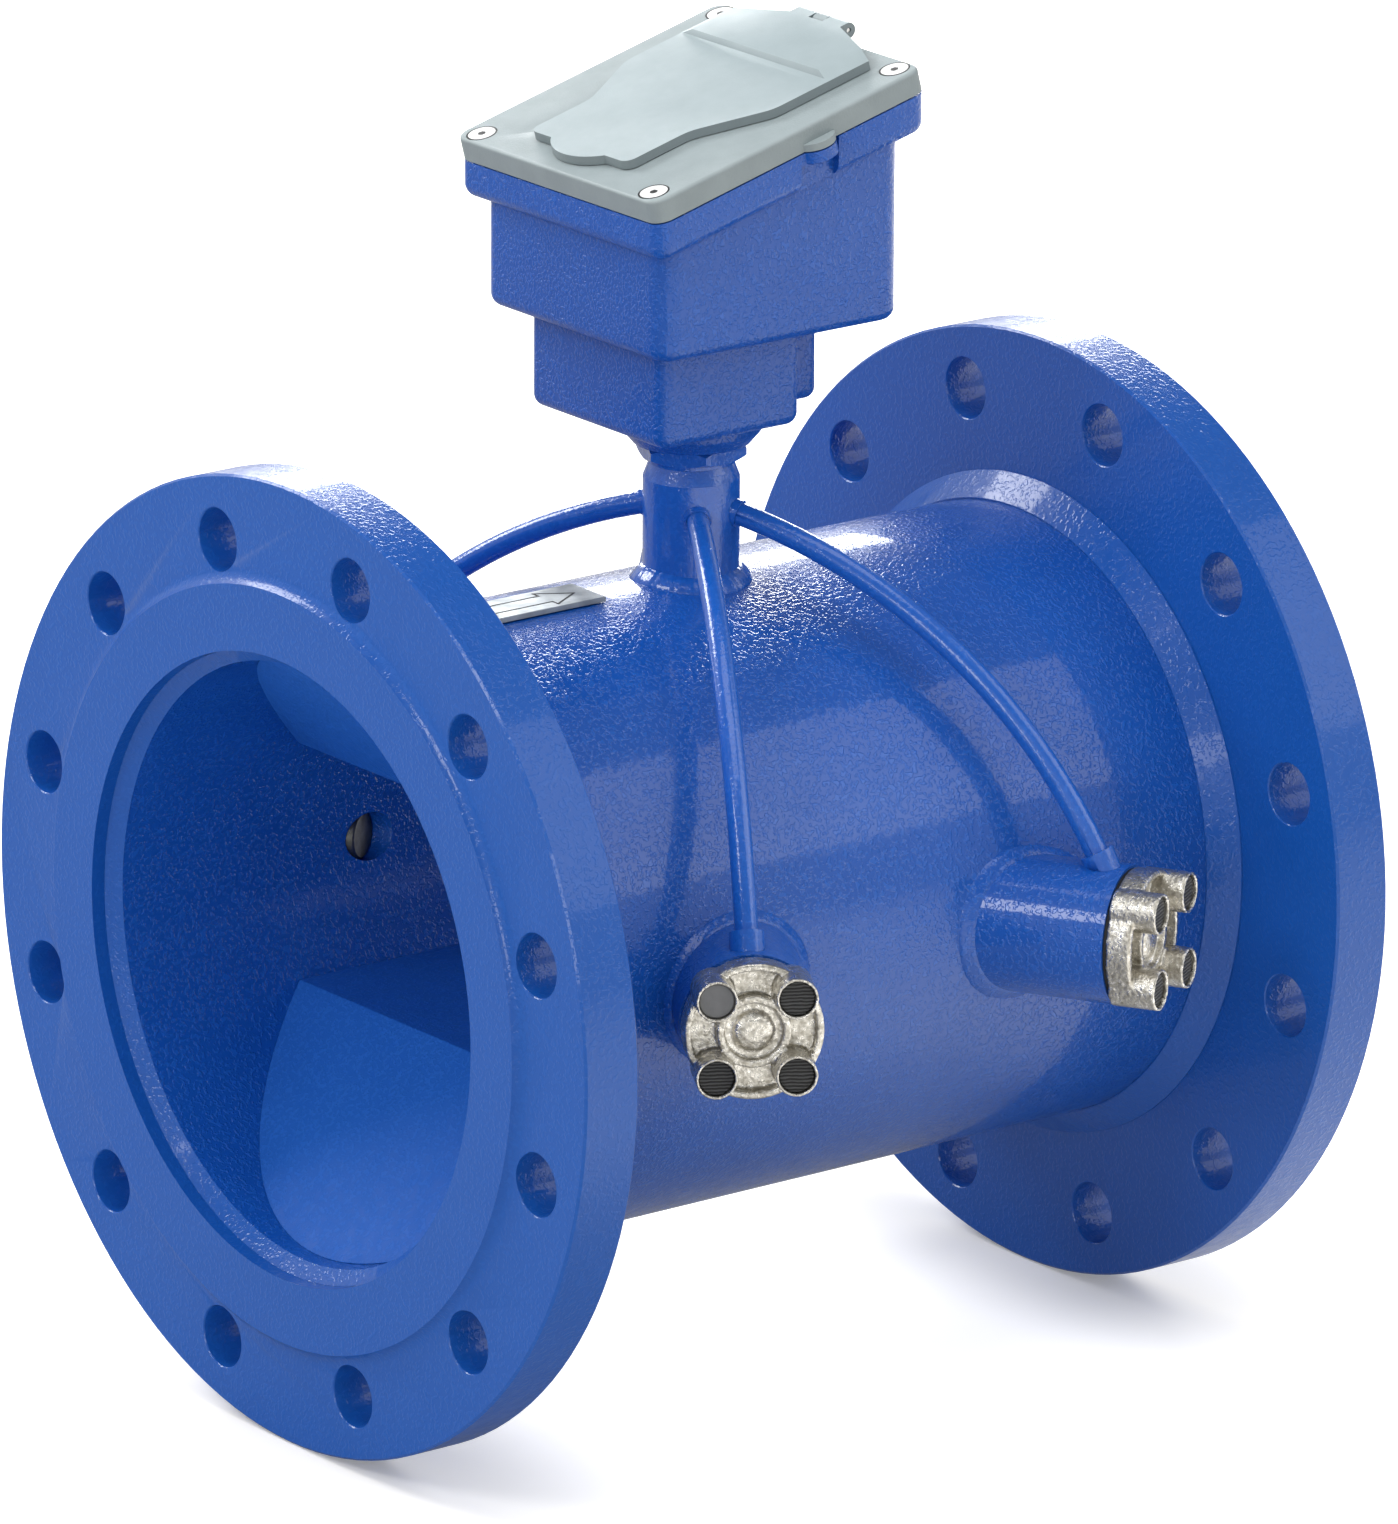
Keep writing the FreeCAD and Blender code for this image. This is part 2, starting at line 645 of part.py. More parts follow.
def cap_fittings():
    screw = turned("cap_screw_one", [
        ("0", "cap_screw_grip * -1 - cap_gasket - cap_floor + 0.5"),
        ("cap_screw / 2", "cap_screw_grip * -1 - cap_gasket - cap_floor + 0.5"),
        ("cap_screw / 2", "seat_gap"), ("cap_screw_head / 2", "seat_gap"),
        ("cap_screw_head / 2", "4.6"), ("cap_screw_head / 2 - 0.4", "5"), ("2.2", "5"), ("2.2", "2.5"),
        ("0", "2.5")])
    cap_base = size("well_end") + size("cap_gasket")
    keep(group("cap_screws", screw, boss_places(cap_base + size("cap_floor"), lambda name, i, j: True)))
    plug_points = [("0", "0"), ("boss_od / 2 - boss_wall - seat_gap", "0"),
                   ("boss_od / 2 - boss_wall - seat_gap", "plug_length - 0.5"),
                   ("boss_od / 2 - boss_wall - 0.6", "plug_length"), ("0", "plug_length")]
    depth = cap_base + size("boss_height") - size("plug_recess") - size("plug_length")
    plug = turned("boss_plug_one", plug_points)
    keep(group("boss_plugs", plug, boss_places(depth, lambda name, i, j: not sealed(name, i, j))))
    keep(turned("seal_plug", plug_points, boss_places(depth, sealed)[0]))
    outer = "cap_od / 2 - 0.6"
    inner = "well_counterbore / 2 + 0.3"
    gasket = turned("cap_gasket_one", [(inner, "seat_gap"), (outer, "seat_gap"),
                                       (outer, "cap_gasket - seat_gap"), (inner, "cap_gasket - seat_gap")])
    body = gasket
    half = "boss_pitch / 2"
    corners = [("-" + half, "-" + half), (half, "-" + half), (half, half), ("-" + half, half)]
    holes = circles(body, "XY_Plane", "cap_gasket_holes",
                    [(x, y, "cap_screw / 2 + 0.2") for x, y in corners])
    body.Tip = cut(body, holes, "3 * cap_gasket", symmetric=True)
    keep(group("cap_gaskets", gasket, [well_place(azimuth, size("well_end")) for azimuth in WELLS.values()]))
    seal = turned("transducer_seal_one", [
        ("port_bore / 2 + 0.5", "seat_gap"), ("well_counterbore / 2 - 0.6", "seat_gap"),
        ("well_counterbore / 2 - 0.6", "seal_thickness"), ("port_bore / 2 + 0.5", "seal_thickness")])
    keep(group("transducer_seals", seal,
               [well_place(azimuth, size("well_seat")) for azimuth in WELLS.values()]))


# ---------------------------------------------------------------- neck, lock nut and conduits
def conduit(name, azimuth):
    place = side_view(azimuth)
    rod = conduit_arc(name + "_conduit_rod", "conduit_od / 2", place, 3, 3)
    bore = conduit_arc(name + "_conduit_bore", "conduit_od / 2 - conduit_wall", place, 4, 4)
    neck = cylinder(name + "_conduit_neck", "neck_od / 2 + seat_gap", "neck_top", Placement(
        Vector(MIDDLE, 0, 0), Rotation()))
    bar = cylinder(name + "_conduit_well", "well_od / 2 + seat_gap", "well_end + 20", well_place(azimuth))
    keep(less(name + "_conduit", rod, bore, neck, bar))


def conduit_weld(end):
    """The bead at one end of a conduit, in the well's vertical plane at azimuth zero."""
    sweep = size("conduit_sweep")
    place = side_view(0)
    before, length, rise = ((3, 4.3, "conduit_weld") if end == "foot" else
                            (-(sweep - 0.4), 3.4, "conduit_neck_weld"))
    label = "conduit_" + end + "_weld_one"
    bead = conduit_arc(label + "_bead", "conduit_od / 2 + " + rise, place, before, 0, sweep=length - before)
    rod = conduit_arc(label + "_rod", "conduit_od / 2 + seat_gap", place, 4, 4)
    neck = cylinder(label + "_neck", "neck_od / 2 + seat_gap", "neck_top", Placement(
        Vector(MIDDLE, 0, 0), Rotation()))
    bar = cylinder(label + "_well", "well_od / 2 + seat_gap", "well_end + 20", well_place(0))
    return less(label, bead, rod, neck, bar)


def neck_parts():
    tube = turned("neck_blank", [
        ("neck_od / 2 - neck_wall", "pipe_od / 2 - 12"), ("neck_od / 2", "pipe_od / 2 - 12"),
        ("neck_od / 2", "neck_top - neck_chamfer_height"), ("neck_od / 2 - neck_chamfer", "neck_top"),
        ("neck_od / 2 - neck_wall", "neck_top")], Placement(Vector(MIDDLE, 0, 0), Rotation()))
    wires = [conduit_arc("neck_wire_" + name, "conduit_od / 2 - conduit_wall", side_view(azimuth), after=2.5)
             for name, azimuth in WELLS.items()]
    keep(less("neck_tube", tube, pipe_core("neck_saddle", "pipe_od / 2 + seat_gap"), *wires))
    keep(saddle_weld("neck_weld", "neck_od / 2", "neck_weld_leg", Placement(Vector(MIDDLE, 0, 0), Rotation()),
                     "pipe_od"))
    turns = {azimuth: Placement(Vector(MIDDLE, 0, 0), Rotation(azimuth, 0, 0))
             * Placement(Vector(-MIDDLE, 0, 0), Rotation()) for azimuth in WELLS.values()}
    beads = doc.addObject("Part::Compound", "conduit_weld_pair")
    beads.Links = [conduit_weld("foot"), conduit_weld("neck")]
    keep(group("conduit_welds", beads, list(turns.values())))
    weld = saddle_weld("well_weld_one", "well_od / 2", "well_weld_leg", well_place(WELLS["inlet_near"]), "pipe_od")
    flips = [Rotation(), Rotation(Vector(0, 1, 0), 180), Rotation(Vector(1, 0, 0), 180), Rotation(180, 0, 0)]
    centre = Vector(MIDDLE, 0, 0)
    keep(group("well_welds", weld, [Placement(centre, flip) * Placement(centre * -1, Rotation())
                                    for flip in flips]))


def lock_nut():
    place = Placement(Vector(MIDDLE, 0, size("neck_top") + size("seat_gap")),
                      Rotation(Vector(0, 0, 1), size("nut_turn")))
    hexagon = doc.addObject("Part::Prism", "lock_nut_hexagon")
    hexagon.Polygon = 6
    hexagon.setExpression("Circumradius", bound("nut_flats / 2 / cos(30)"))
    hexagon.setExpression("Height", bound("nut_height"))
    hexagon.Placement = place
    corner = "nut_flats / 2 / cos(30)"
    flat = "nut_flats / 2"
    lens = turned("lock_nut_lens", [
        ("0", "0"), ("nut_collar_od / 2", "0"), ("nut_collar_od / 2", "nut_collar"), (flat, "nut_collar"),
        (corner + " + 0.2", "nut_collar + (%s - %s) * 0.6 + 0.1" % (corner, flat)),
        (corner + " + 0.2", "nut_height - (%s - %s) * 0.6 - 0.1" % (corner, flat)), (flat, "nut_height"),
        ("0", "nut_height")], place)
    bore = cylinder("lock_nut_bore", "spigot_od / 2 + 0.12", "2 * nut_height", place)
    keep(less("lock_nut", shared("lock_nut_solid", hexagon, lens), bore))


# ---------------------------------------------------------------- register head
JOINT_AT = "(head_joint + (%s) * tan(head_tilt))"
HEAD_BASE = Placement(Vector(MIDDLE, 0, 0), Rotation())


def tilted_circles(body, label, rings, height):
    """Circles drawn in the plane of the lid joint, moved square to it by a height."""
    sketch = circles(body, "XY_Plane", label, rings)
    tilt = Rotation(Vector(0, 1, 0), -size("head_tilt"))
    lift = Vector(0, 0, size("head_joint")) + tilt.multVec(Vector(0, 0, height))
    sketch.AttachmentOffset = Placement(lift, tilt)
    return sketch


def block(body, label, points, width, symmetric=True):
    return pad(body, outline(body, "XZ_Plane", label, points), width, symmetric)


def head_housing():
    """Three stepped boxes under a tilted rim, on a conical foot with a hollow spigot."""
    body = new_body("head_housing", HEAD_BASE)
    half = "rim_length / 2"
    front, rear = JOINT_AT % ("-" + half), JOINT_AT % half
    rim = block(body, "rim_side", [("-" + half, front + " - rim_height"), (half, rear + " - rim_height"),
                                   (half, rear), ("-" + half, front)], "rim_width")
    rim = round_edges(body, rim, "rim_corners", "rim_corner", upright)
    tilt = math.tan(math.radians(size("head_tilt")))
    floor = size("head_joint") - size("rim_height")
    rim = round_edges(body, rim, "rim_underside", "bottom_round", lambda edge: all(
        abs(vertex.Z - floor - vertex.X * tilt) < 0.01 for vertex in edge.Vertexes))
    mid = "mid_length / 2"
    block(body, "mid_side", [("-" + mid, "mid_bottom"), (mid, "mid_bottom"),
                             (mid, JOINT_AT % mid + " - rim_height / 2"),
                             ("-" + mid, JOINT_AT % ("-" + mid) + " - rim_height / 2")], "mid_width")
    tier = body.Tip
    reach = size("mid_length") / 2
    tier = round_edges(body, tier, "mid_corners", "mid_corner", lambda edge: upright(edge) and
                       abs(abs(edge.Vertexes[0].X) - reach) < 0.01 and
                       abs(abs(edge.Vertexes[0].Y) - size("mid_width") / 2) < 0.01)
    round_edges(body, tier, "mid_underside", "bottom_round", lambda edge: all(
        abs(vertex.Z - size("mid_bottom")) < 0.01 for vertex in edge.Vertexes))
    top = "mid_bottom + 6"
    block(body, "low_side", [("-low_front", "low_bottom"), ("low_back", "low_bottom"), ("low_back", top),
                             ("-low_front", top)], "low_width")
    low = round_edges(body, body.Tip, "low_corners", "low_corner", lambda edge: upright(edge) and
                      abs(abs(edge.Vertexes[0].Y) - size("low_width") / 2) < 0.01 and
                      edge.BoundBox.ZMin < size("low_bottom") + 1)
    low = round_edges(body, low, "low_underside", "bottom_round", lambda edge: all(
        abs(vertex.Z - size("low_bottom")) < 0.01 for vertex in edge.Vertexes))
    block(body, "outlet_block_side", [("0", "low_bottom + 0.4"), ("outlet_block_reach", "low_bottom + 0.4"),
                                      ("outlet_block_reach", top), ("0", top)], "outlet_block_width")
    reach_x = size("outlet_block_reach")
    back = round_edges(body, body.Tip, "block_corners", "bottom_round", lambda edge: upright(edge) and
                       abs(edge.Vertexes[0].X - reach_x) < 0.01)
    round_edges(body, back, "block_underside", "bottom_round - 0.5", lambda edge:
                abs(edge.BoundBox.ZMin - size("low_bottom") - 0.4) < 0.01 and
                abs(edge.BoundBox.ZMax - size("low_bottom") - 0.4) < 0.01 and
                edge.BoundBox.XMax > size("low_back") + 0.5)
    foot = "neck_top + nut_height + 2 * seat_gap"
    ridge = foot + " + cone_height + cone_foot"
    spin(body, outline(body, "XZ_Plane", "foot_section", [
        ("0", foot), ("cone_foot_od / 2", foot), ("cone_od / 2 - 0.6", foot + " + cone_height"), ("cone_od / 2", ridge),
        ("cone_od / 2", "low_bottom + 2"), ("0", "low_bottom + 2")]))
    spin(body, outline(body, "XZ_Plane", "spigot_section", [
        ("0", "neck_top - spigot_depth"), ("spigot_od / 2 - 1", "neck_top - spigot_depth"),
        ("spigot_od / 2", "neck_top - spigot_depth + 1"), ("spigot_od / 2", "low_bottom + 2"),
        ("0", "low_bottom + 2")]))
    head_hollow(body)
    seal_ear(body)
    return keep(body)


def head_hollow(body):
    """The room inside the head, its floor steps, the wire bore and the lid screws' holes."""
    mid = "(mid_length / 2 - head_wall)"
    top = JOINT_AT % mid + " + 5"
    cut(body, outline(body, "XZ_Plane", "mid_room", [
        ("-" + mid, "mid_bottom + head_wall"), (mid, "mid_bottom + head_wall"), (mid, top), ("-" + mid, top)]),
        "mid_width - 2 * head_wall", symmetric=True)
    floor = "low_bottom + head_wall"
    cut(body, outline(body, "XZ_Plane", "low_room", [
        ("head_wall - low_front", floor), ("low_back - head_wall", floor),
        ("low_back - head_wall", "mid_bottom + 10"), ("head_wall - low_front", "mid_bottom + 10")]),
        "low_width - 2 * head_wall", symmetric=True)
    cut(body, outline(body, "XZ_Plane", "block_room", [
        ("0", floor), ("outlet_block_reach - head_wall", floor),
        ("outlet_block_reach - head_wall", "mid_bottom + 10"), ("0", "mid_bottom + 10")]),
        "outlet_block_width - 2 * head_wall", symmetric=True)
    spin(body, outline(body, "XZ_Plane", "wire_bore", [
        ("0", "neck_top - spigot_depth - 5"), ("spigot_bore / 2", "neck_top - spigot_depth - 5"),
        ("spigot_bore / 2", "low_bottom + head_wall + 2"), ("0", "low_bottom + head_wall + 2")]), groove=True)
    long, wide = "screw_pitch_long / 2", "screw_pitch_wide / 2"
    corners = [(sx + long, sy + wide, "screw_shank / 2 + 0.1") for sx in ("", "-") for sy in ("", "-")]
    cut(body, tilted_circles(body, "lid_screw_holes", corners, 1.0), "screw_length - lid_thickness + 3.4")
    gland = circles(body, "YZ_Plane", "gland_hole_place",
                    [("gland_offset", "gland_height", "gland_hole / 2")], lift="low_back - head_wall - 2")
    cut(body, gland, "3 * head_wall", flip=True)


def seal_ear(body):
    """The housing's half of the seal ear, over a square pocket in the rim."""
    edge = "rim_width / 2"
    left, right = "ear_offset - ear_pocket_left", "ear_offset + ear_pocket_right"
    low = JOINT_AT + " - rim_height - 1"
    under, over = JOINT_AT + " - ear_depth / cos(head_tilt)", JOINT_AT + " + 2"
    pocket = outline(body, "XZ_Plane", "ear_pocket", [
        (left, low % left), (right, low % right), (right, over % right), ("ear_offset", over % "ear_offset"),
        ("ear_offset", under % "ear_offset"), (left, under % left)], lift="rim_width / 2 + 1")
    cut(body, pocket, "ear_pocket_depth + 1")
    spot = [("ear_offset", "ear_radius - ear_reach - " + edge, "ear_radius")]
    body.Tip = pad(body, tilted_circles(body, "ear_disc", spot, -size("ear_depth")), "ear_depth")


def lid_frame():
    """The light lid: a flat plate with a window, a land for the screws and the hinge lug."""
    body = new_body("lid_frame", head_place(size("gasket_thickness")))
    half = "lid_length / 2"
    plate = block(body, "lid_side", [("-" + half, "0"), (half, "0"), (half, "lid_thickness"),
                                     ("-" + half, "lid_thickness")], "rim_width")
    plate = round_edges(body, plate, "lid_corners", "rim_corner", upright)
    round_edges(body, plate, "lid_top_edge", "lid_edge_round", lambda edge: all(
        abs(vertex.Z - size("lid_thickness")) < 0.01 for vertex in edge.Vertexes))
    edge = "rim_width / 2"
    disc = circles(body, "XY_Plane", "lid_ear", [("ear_offset", "ear_radius - ear_reach - " + edge, "ear_radius")])
    pad(body, disc, "lid_ear_height")
    lug = block(body, "lug_side", [
        ("hinge_offset - knuckle_od / 2", "lid_thickness - 3"), ("%s - 0.3" % half, "lid_thickness - 5"),
        ("hinge_offset + knuckle_od / 2 * 0.98", "lid_thickness + hinge_height - 0.4"),
        ("hinge_offset - knuckle_od / 2", "lid_thickness + hinge_height")], "lug_width")
    barrel = circles(body, "XZ_Plane", "lug_barrel",
                     [("hinge_offset", "lid_thickness + hinge_height", "knuckle_od / 2")])
    pad(body, barrel, "lug_width", symmetric=True)
    pin = circles(body, "XZ_Plane", "lug_pin_hole",
                  [("hinge_offset", "lid_thickness + hinge_height", "pin_od / 2 + pin_play")])
    cut(body, pin, "2 * lug_width", symmetric=True)
    lid_openings(body, half, edge)
    return keep(body)


def lid_openings(body, half, edge):
    room = "lid_thickness - lid_skin"
    cut(body, outline(body, "XY_Plane", "lid_room", [
        ("lid_land - " + half, "lid_land - " + edge), (half + " - lid_land", "lid_land - " + edge),
        (half + " - lid_land", edge + " - lid_land"), ("lid_land - " + half, edge + " - lid_land")]),
        room, flip=True)
    front, back, wide = "-window_front", "window_back", "window_width / 2"
    cut(body, outline(body, "XY_Plane", "window_opening", [
        (front, "-" + wide), (back, "-" + wide), (back, wide), (front, wide)]), "2 * lid_thickness", flip=True)
    front, back, wide = front + " - window_lap", back + " + window_lap", wide + " + window_lap"
    cut(body, outline(body, "XY_Plane", "pane_seat", [
        (front, "-(%s)" % wide), (back, "-(%s)" % wide), (back, wide), (front, wide)], lift="lid_thickness"),
        "pane_thickness + 0.05")
    long, wide = "screw_pitch_long / 2", "screw_pitch_wide / 2"
    corners = [(sx + long, sy + wide) for sx in ("", "-") for sy in ("", "-")]
    cut(body, circles(body, "XY_Plane", "head_sinks", [(x, y, "screw_head / 2 + 0.15") for x, y in corners],
                      lift="lid_thickness"), "screw_head_height + 0.05")
    cut(body, circles(body, "XY_Plane", "shank_holes", [(x, y, "screw_shank / 2 + 0.25") for x, y in corners],
                      lift="lid_thickness"), "lid_thickness + 5")


def lid_gasket():
    body = new_body("lid_gasket", head_place(0))
    half = "lid_length / 2 - gasket_inset"
    wide = "rim_width / 2 - gasket_inset"
    inner, inner_wide = "mid_length / 2 - head_wall", "mid_width / 2 - head_wall"
    sheet_pad = pad(body, outline(body, "XY_Plane", "gasket_outline", [
        ("-(%s)" % half, "-(%s)" % wide), (half, "-(%s)" % wide), (half, wide), ("-(%s)" % half, wide)],
        lift="seat_gap"), "gasket_thickness - 2 * seat_gap")
    round_edges(body, sheet_pad, "gasket_corners", "rim_corner - gasket_inset", upright)
    cut(body, outline(body, "XY_Plane", "gasket_inside", [
        ("-(%s)" % inner, "-(%s)" % inner_wide), (inner, "-(%s)" % inner_wide), (inner, inner_wide),
        ("-(%s)" % inner, inner_wide)]), "3 * gasket_thickness", symmetric=True)
    long, pitch = "screw_pitch_long / 2", "screw_pitch_wide / 2"
    corners = [(sx + long, sy + pitch, "screw_shank / 2 + 0.25") for sx in ("", "-") for sy in ("", "-")]
    body.Tip = cut(body, circles(body, "XY_Plane", "gasket_holes", corners), "3 * gasket_thickness", symmetric=True)
    return keep(body)


LID_TOP = size("gasket_thickness") + size("lid_thickness")


def lid_screws():
    head = "screw_head / 2"
    screw = turned("lid_screw_one", [
        ("0", "-screw_length"), ("screw_shank / 2", "-screw_length"),
        ("screw_shank / 2", "-screw_head_height"), (head, "-screw_head_height"), (head, "-0.3"),
        (head + " - 0.3", "0"), ("screw_hex / 2", "0"), ("screw_hex / 2", "-1.6"), ("0", "-1.6")])
    long, wide = size("screw_pitch_long") / 2, size("screw_pitch_wide") / 2
    base = head_place(LID_TOP)
    keep(group("lid_screws", screw, [base * Placement(Vector(i * long, j * wide, 0), Rotation())
                                     for i in (-1, 1) for j in (-1, 1)]))


def cover_flap():
    """The hinged cover: a waisted plate with a finger tab and a raised hood over the hinge."""
    body = new_body("cover_flap", head_place(LID_TOP))
    narrow, broad = "flap_front_width / 2", "flap_back_width / 2"
    front, side = "-flap_front", "hood_side - 2"
    points = [(front, "-" + narrow), ("flap_waist_start", "-" + narrow), ("flap_waist_end", "-" + broad),
              (side, "-" + broad), (side, broad), ("flap_waist_end", broad), ("flap_waist_start", narrow),
              (front, narrow)]
    plate = pad(body, outline(body, "XY_Plane", "flap_plan", points, lift="flap_lift"), "flap_thickness")
    waist = (size("flap_waist_start"), size("flap_waist_end"))
    plate = round_edges(body, plate, "flap_waist", "flap_waist_round", lambda edge: upright(edge) and
                        min(abs(edge.Vertexes[0].X - x) for x in waist) < 0.01)
    plate = round_edges(body, plate, "flap_corners", "flap_corner", lambda edge: upright(edge) and
                        abs(edge.Vertexes[0].X + size("flap_front")) < 0.01)
    tab = circles(body, "XY_Plane", "finger_tab",
                  [("tab_radius - tab_reach - flap_front", "0", "tab_radius")], lift="flap_lift")
    pad(body, tab, "flap_thickness")
    hood(body, broad, side)
    barrels = circles(body, "XZ_Plane", "knuckle_barrel", [("hinge_offset", "hinge_height", "knuckle_od / 2")])
    pad(body, barrels, "knuckle_width", symmetric=True)
    hinge_cuts(body)
    return keep(body)


def hood(body, broad, side):
    """The hood rises from a wide foot to a smaller flat top; its rear tapers to the knuckle."""
    top = "hinge_height + knuckle_od / 2"
    foot = "flap_lift + flap_thickness - 0.05"
    back, knuckle = "hinge_offset - 3.3", "knuckle_width / 2"
    upper = "hood_width / 2"
    slant = "(%s - %s) / (%s - (%s))" % (broad, knuckle, back, side)
    shoulder = "%s - (%s - %s) / (%s)" % (back, upper, knuckle, slant)
    rings = []
    for label, share, front in (("hood_foot", 0, "hood_front - hood_sweep"),
                                ("hood_waist", 0.3, "hood_front - 0.3 * hood_sweep"),
                                ("hood_crown", 1, "hood_front")):
        wide = "(%s + %g * (%s - %s))" % (broad, share, upper, broad)
        rear = "(%s + %g * (%s - (%s)))" % (side, share, shoulder, side)
        level = "(%s) + %g * (%s - (%s))" % (foot, share, top, foot)
        rings.append(outline(body, "XY_Plane", label, [
            (front, "-" + wide), (rear, "-" + wide), (back, "-" + knuckle), (back, knuckle),
            (rear, wide), (front, wide)], lift=level))
    loft = body.newObject("PartDesign::AdditiveLoft", "hood_sides")
    loft.Profile = rings[0]
    loft.Sections = rings[1:]
    loft.Ruled = True
    block(body, "hood_tail", [(side + " - 4", "flap_lift"), ("hinge_offset", "flap_lift + 0.25"),
                              ("hinge_offset", top), (side + " - 4", top)], "knuckle_width")
    rear = outline(body, "XY_Plane", "hood_rear", [
        (side + " - 4", "-" + broad), (side, "-" + broad), (back, "-" + knuckle), (back, knuckle),
        (side, broad), (side + " - 4", broad)], lift="flap_lift")
    pad(body, rear, "flap_thickness")
    inner = "%s - hood_wall" % upper
    cut(body, outline(body, "XY_Plane", "hood_room", [
        ("hood_front + hood_wall", "-(%s)" % inner), (side + " - 3", "-(%s)" % inner), (side + " - 3", inner),
        ("hood_front + hood_wall", inner)], lift="%s - hood_wall" % top), "2 * (%s)" % top)


def hinge_cuts(body):
    slot = "lug_width / 2 + hinge_play"
    far = "hinge_offset + knuckle_od"
    near = "hinge_offset - knuckle_od / 2 - hinge_play"
    cut(body, outline(body, "XY_Plane", "lug_slot", [
        (near, "-(%s)" % slot), (far, "-(%s)" % slot), (far, slot), (near, slot)]), "50", symmetric=True)
    pin = circles(body, "XZ_Plane", "flap_pin_hole", [("hinge_offset", "hinge_height", "pin_od / 2 + pin_play")])
    body.Tip = cut(body, pin, "2 * knuckle_width", symmetric=True)


def hinge_pin():
    place = head_place(LID_TOP) * Placement(
        Vector(size("hinge_offset"), size("knuckle_width") / 2 - 0.5, size("hinge_height")),
        Rotation(Vector(1, 0, 0), 90))
    keep(cylinder("hinge_pin", "pin_od / 2", "knuckle_width - 1", place))


def inside_head():
    """Window pane, display, boards, cell and terminals: plain blocks of plausible size."""
    lid = head_place(size("gasket_thickness"))
    pane_x = (size("window_back") - size("window_front")) / 2
    pane = box("window_pane", "window_front + window_back + 2 * window_lap - 0.4",
               "window_width + 2 * window_lap - 0.4", "pane_thickness", lid * Placement(
                   Vector(pane_x - (size("window_front") + size("window_back")) / 2 - size("window_lap") + 0.2,
                          -size("window_width") / 2 - size("window_lap") + 0.2,
                          size("lid_thickness") - size("pane_thickness")), Rotation()))
    keep(pane)
    under = size("lid_thickness") - size("pane_thickness") - size("display_depth") - 0.5
    keep(box("display_module", "window_front + window_back - 3", "window_width - 3", "display_depth",
             lid * Placement(Vector(-size("window_front") + 1.5, 1.5 - size("window_width") / 2, under),
                             Rotation())))
    board_z = under - size("board_drop") - size("board_thickness")
    long = "mid_length - 2 * board_margin"
    wide = "mid_width - 2 * board_margin"
    margin = size("board_margin")
    keep(box("main_board", long, wide, "board_thickness", lid * Placement(
        Vector(margin - size("mid_length") / 2, margin - size("mid_width") / 2, board_z), Rotation())))
    post = cylinder("board_spacer_one", "spacer_od / 2", "board_drop - 2 * seat_gap", Placement())
    xs = [-size("window_front") + 6, size("window_back") - 6]
    ys = [6 - size("window_width") / 2, size("window_width") / 2 - 6]
    height = board_z + size("board_thickness") + size("seat_gap")
    keep(group("board_spacers", post, [lid * Placement(Vector(x, y, height), Rotation())
                                       for x in xs for y in ys]))
    floor = size("mid_bottom") + size("head_wall")
    cell_x = (size("low_back") - size("low_front")) / 2
    low_floor = size("low_bottom") + size("head_wall") + size("seat_gap")
    base = HEAD_BASE * Placement(Vector(cell_x, 0, low_floor), Rotation())
    cradle = box("cradle_block", "cradle_width", "cell_length", "cradle_base + cell_od / 2", base * Placement(
        Vector(-size("cradle_width") / 2, -size("cell_length") / 2, 0), Rotation()))
    cell_place = base * Placement(Vector(0, size("cell_length") / 2, size("cradle_base") + size("cell_od") / 2),
                                  Rotation(Vector(1, 0, 0), 90))
    keep(less("battery_cradle", cradle, cylinder("cradle_hollow", "cell_od / 2 + 0.1", "3 * cell_length",
                                                cell_place * Placement(Vector(0, 0, -60), Rotation())),
              cylinder("cradle_wire_way", "spigot_bore / 2", "cell_length", HEAD_BASE)))
    keep(cylinder("battery_pack", "cell_od / 2", "cell_length", cell_place))
    keep(box("terminal_block", "terminal_length / 2", "terminal_width", "terminal_height", HEAD_BASE * Placement(
        Vector(size("low_back") + 8, -size("terminal_width") / 2, floor + size("seat_gap")), Rotation())))


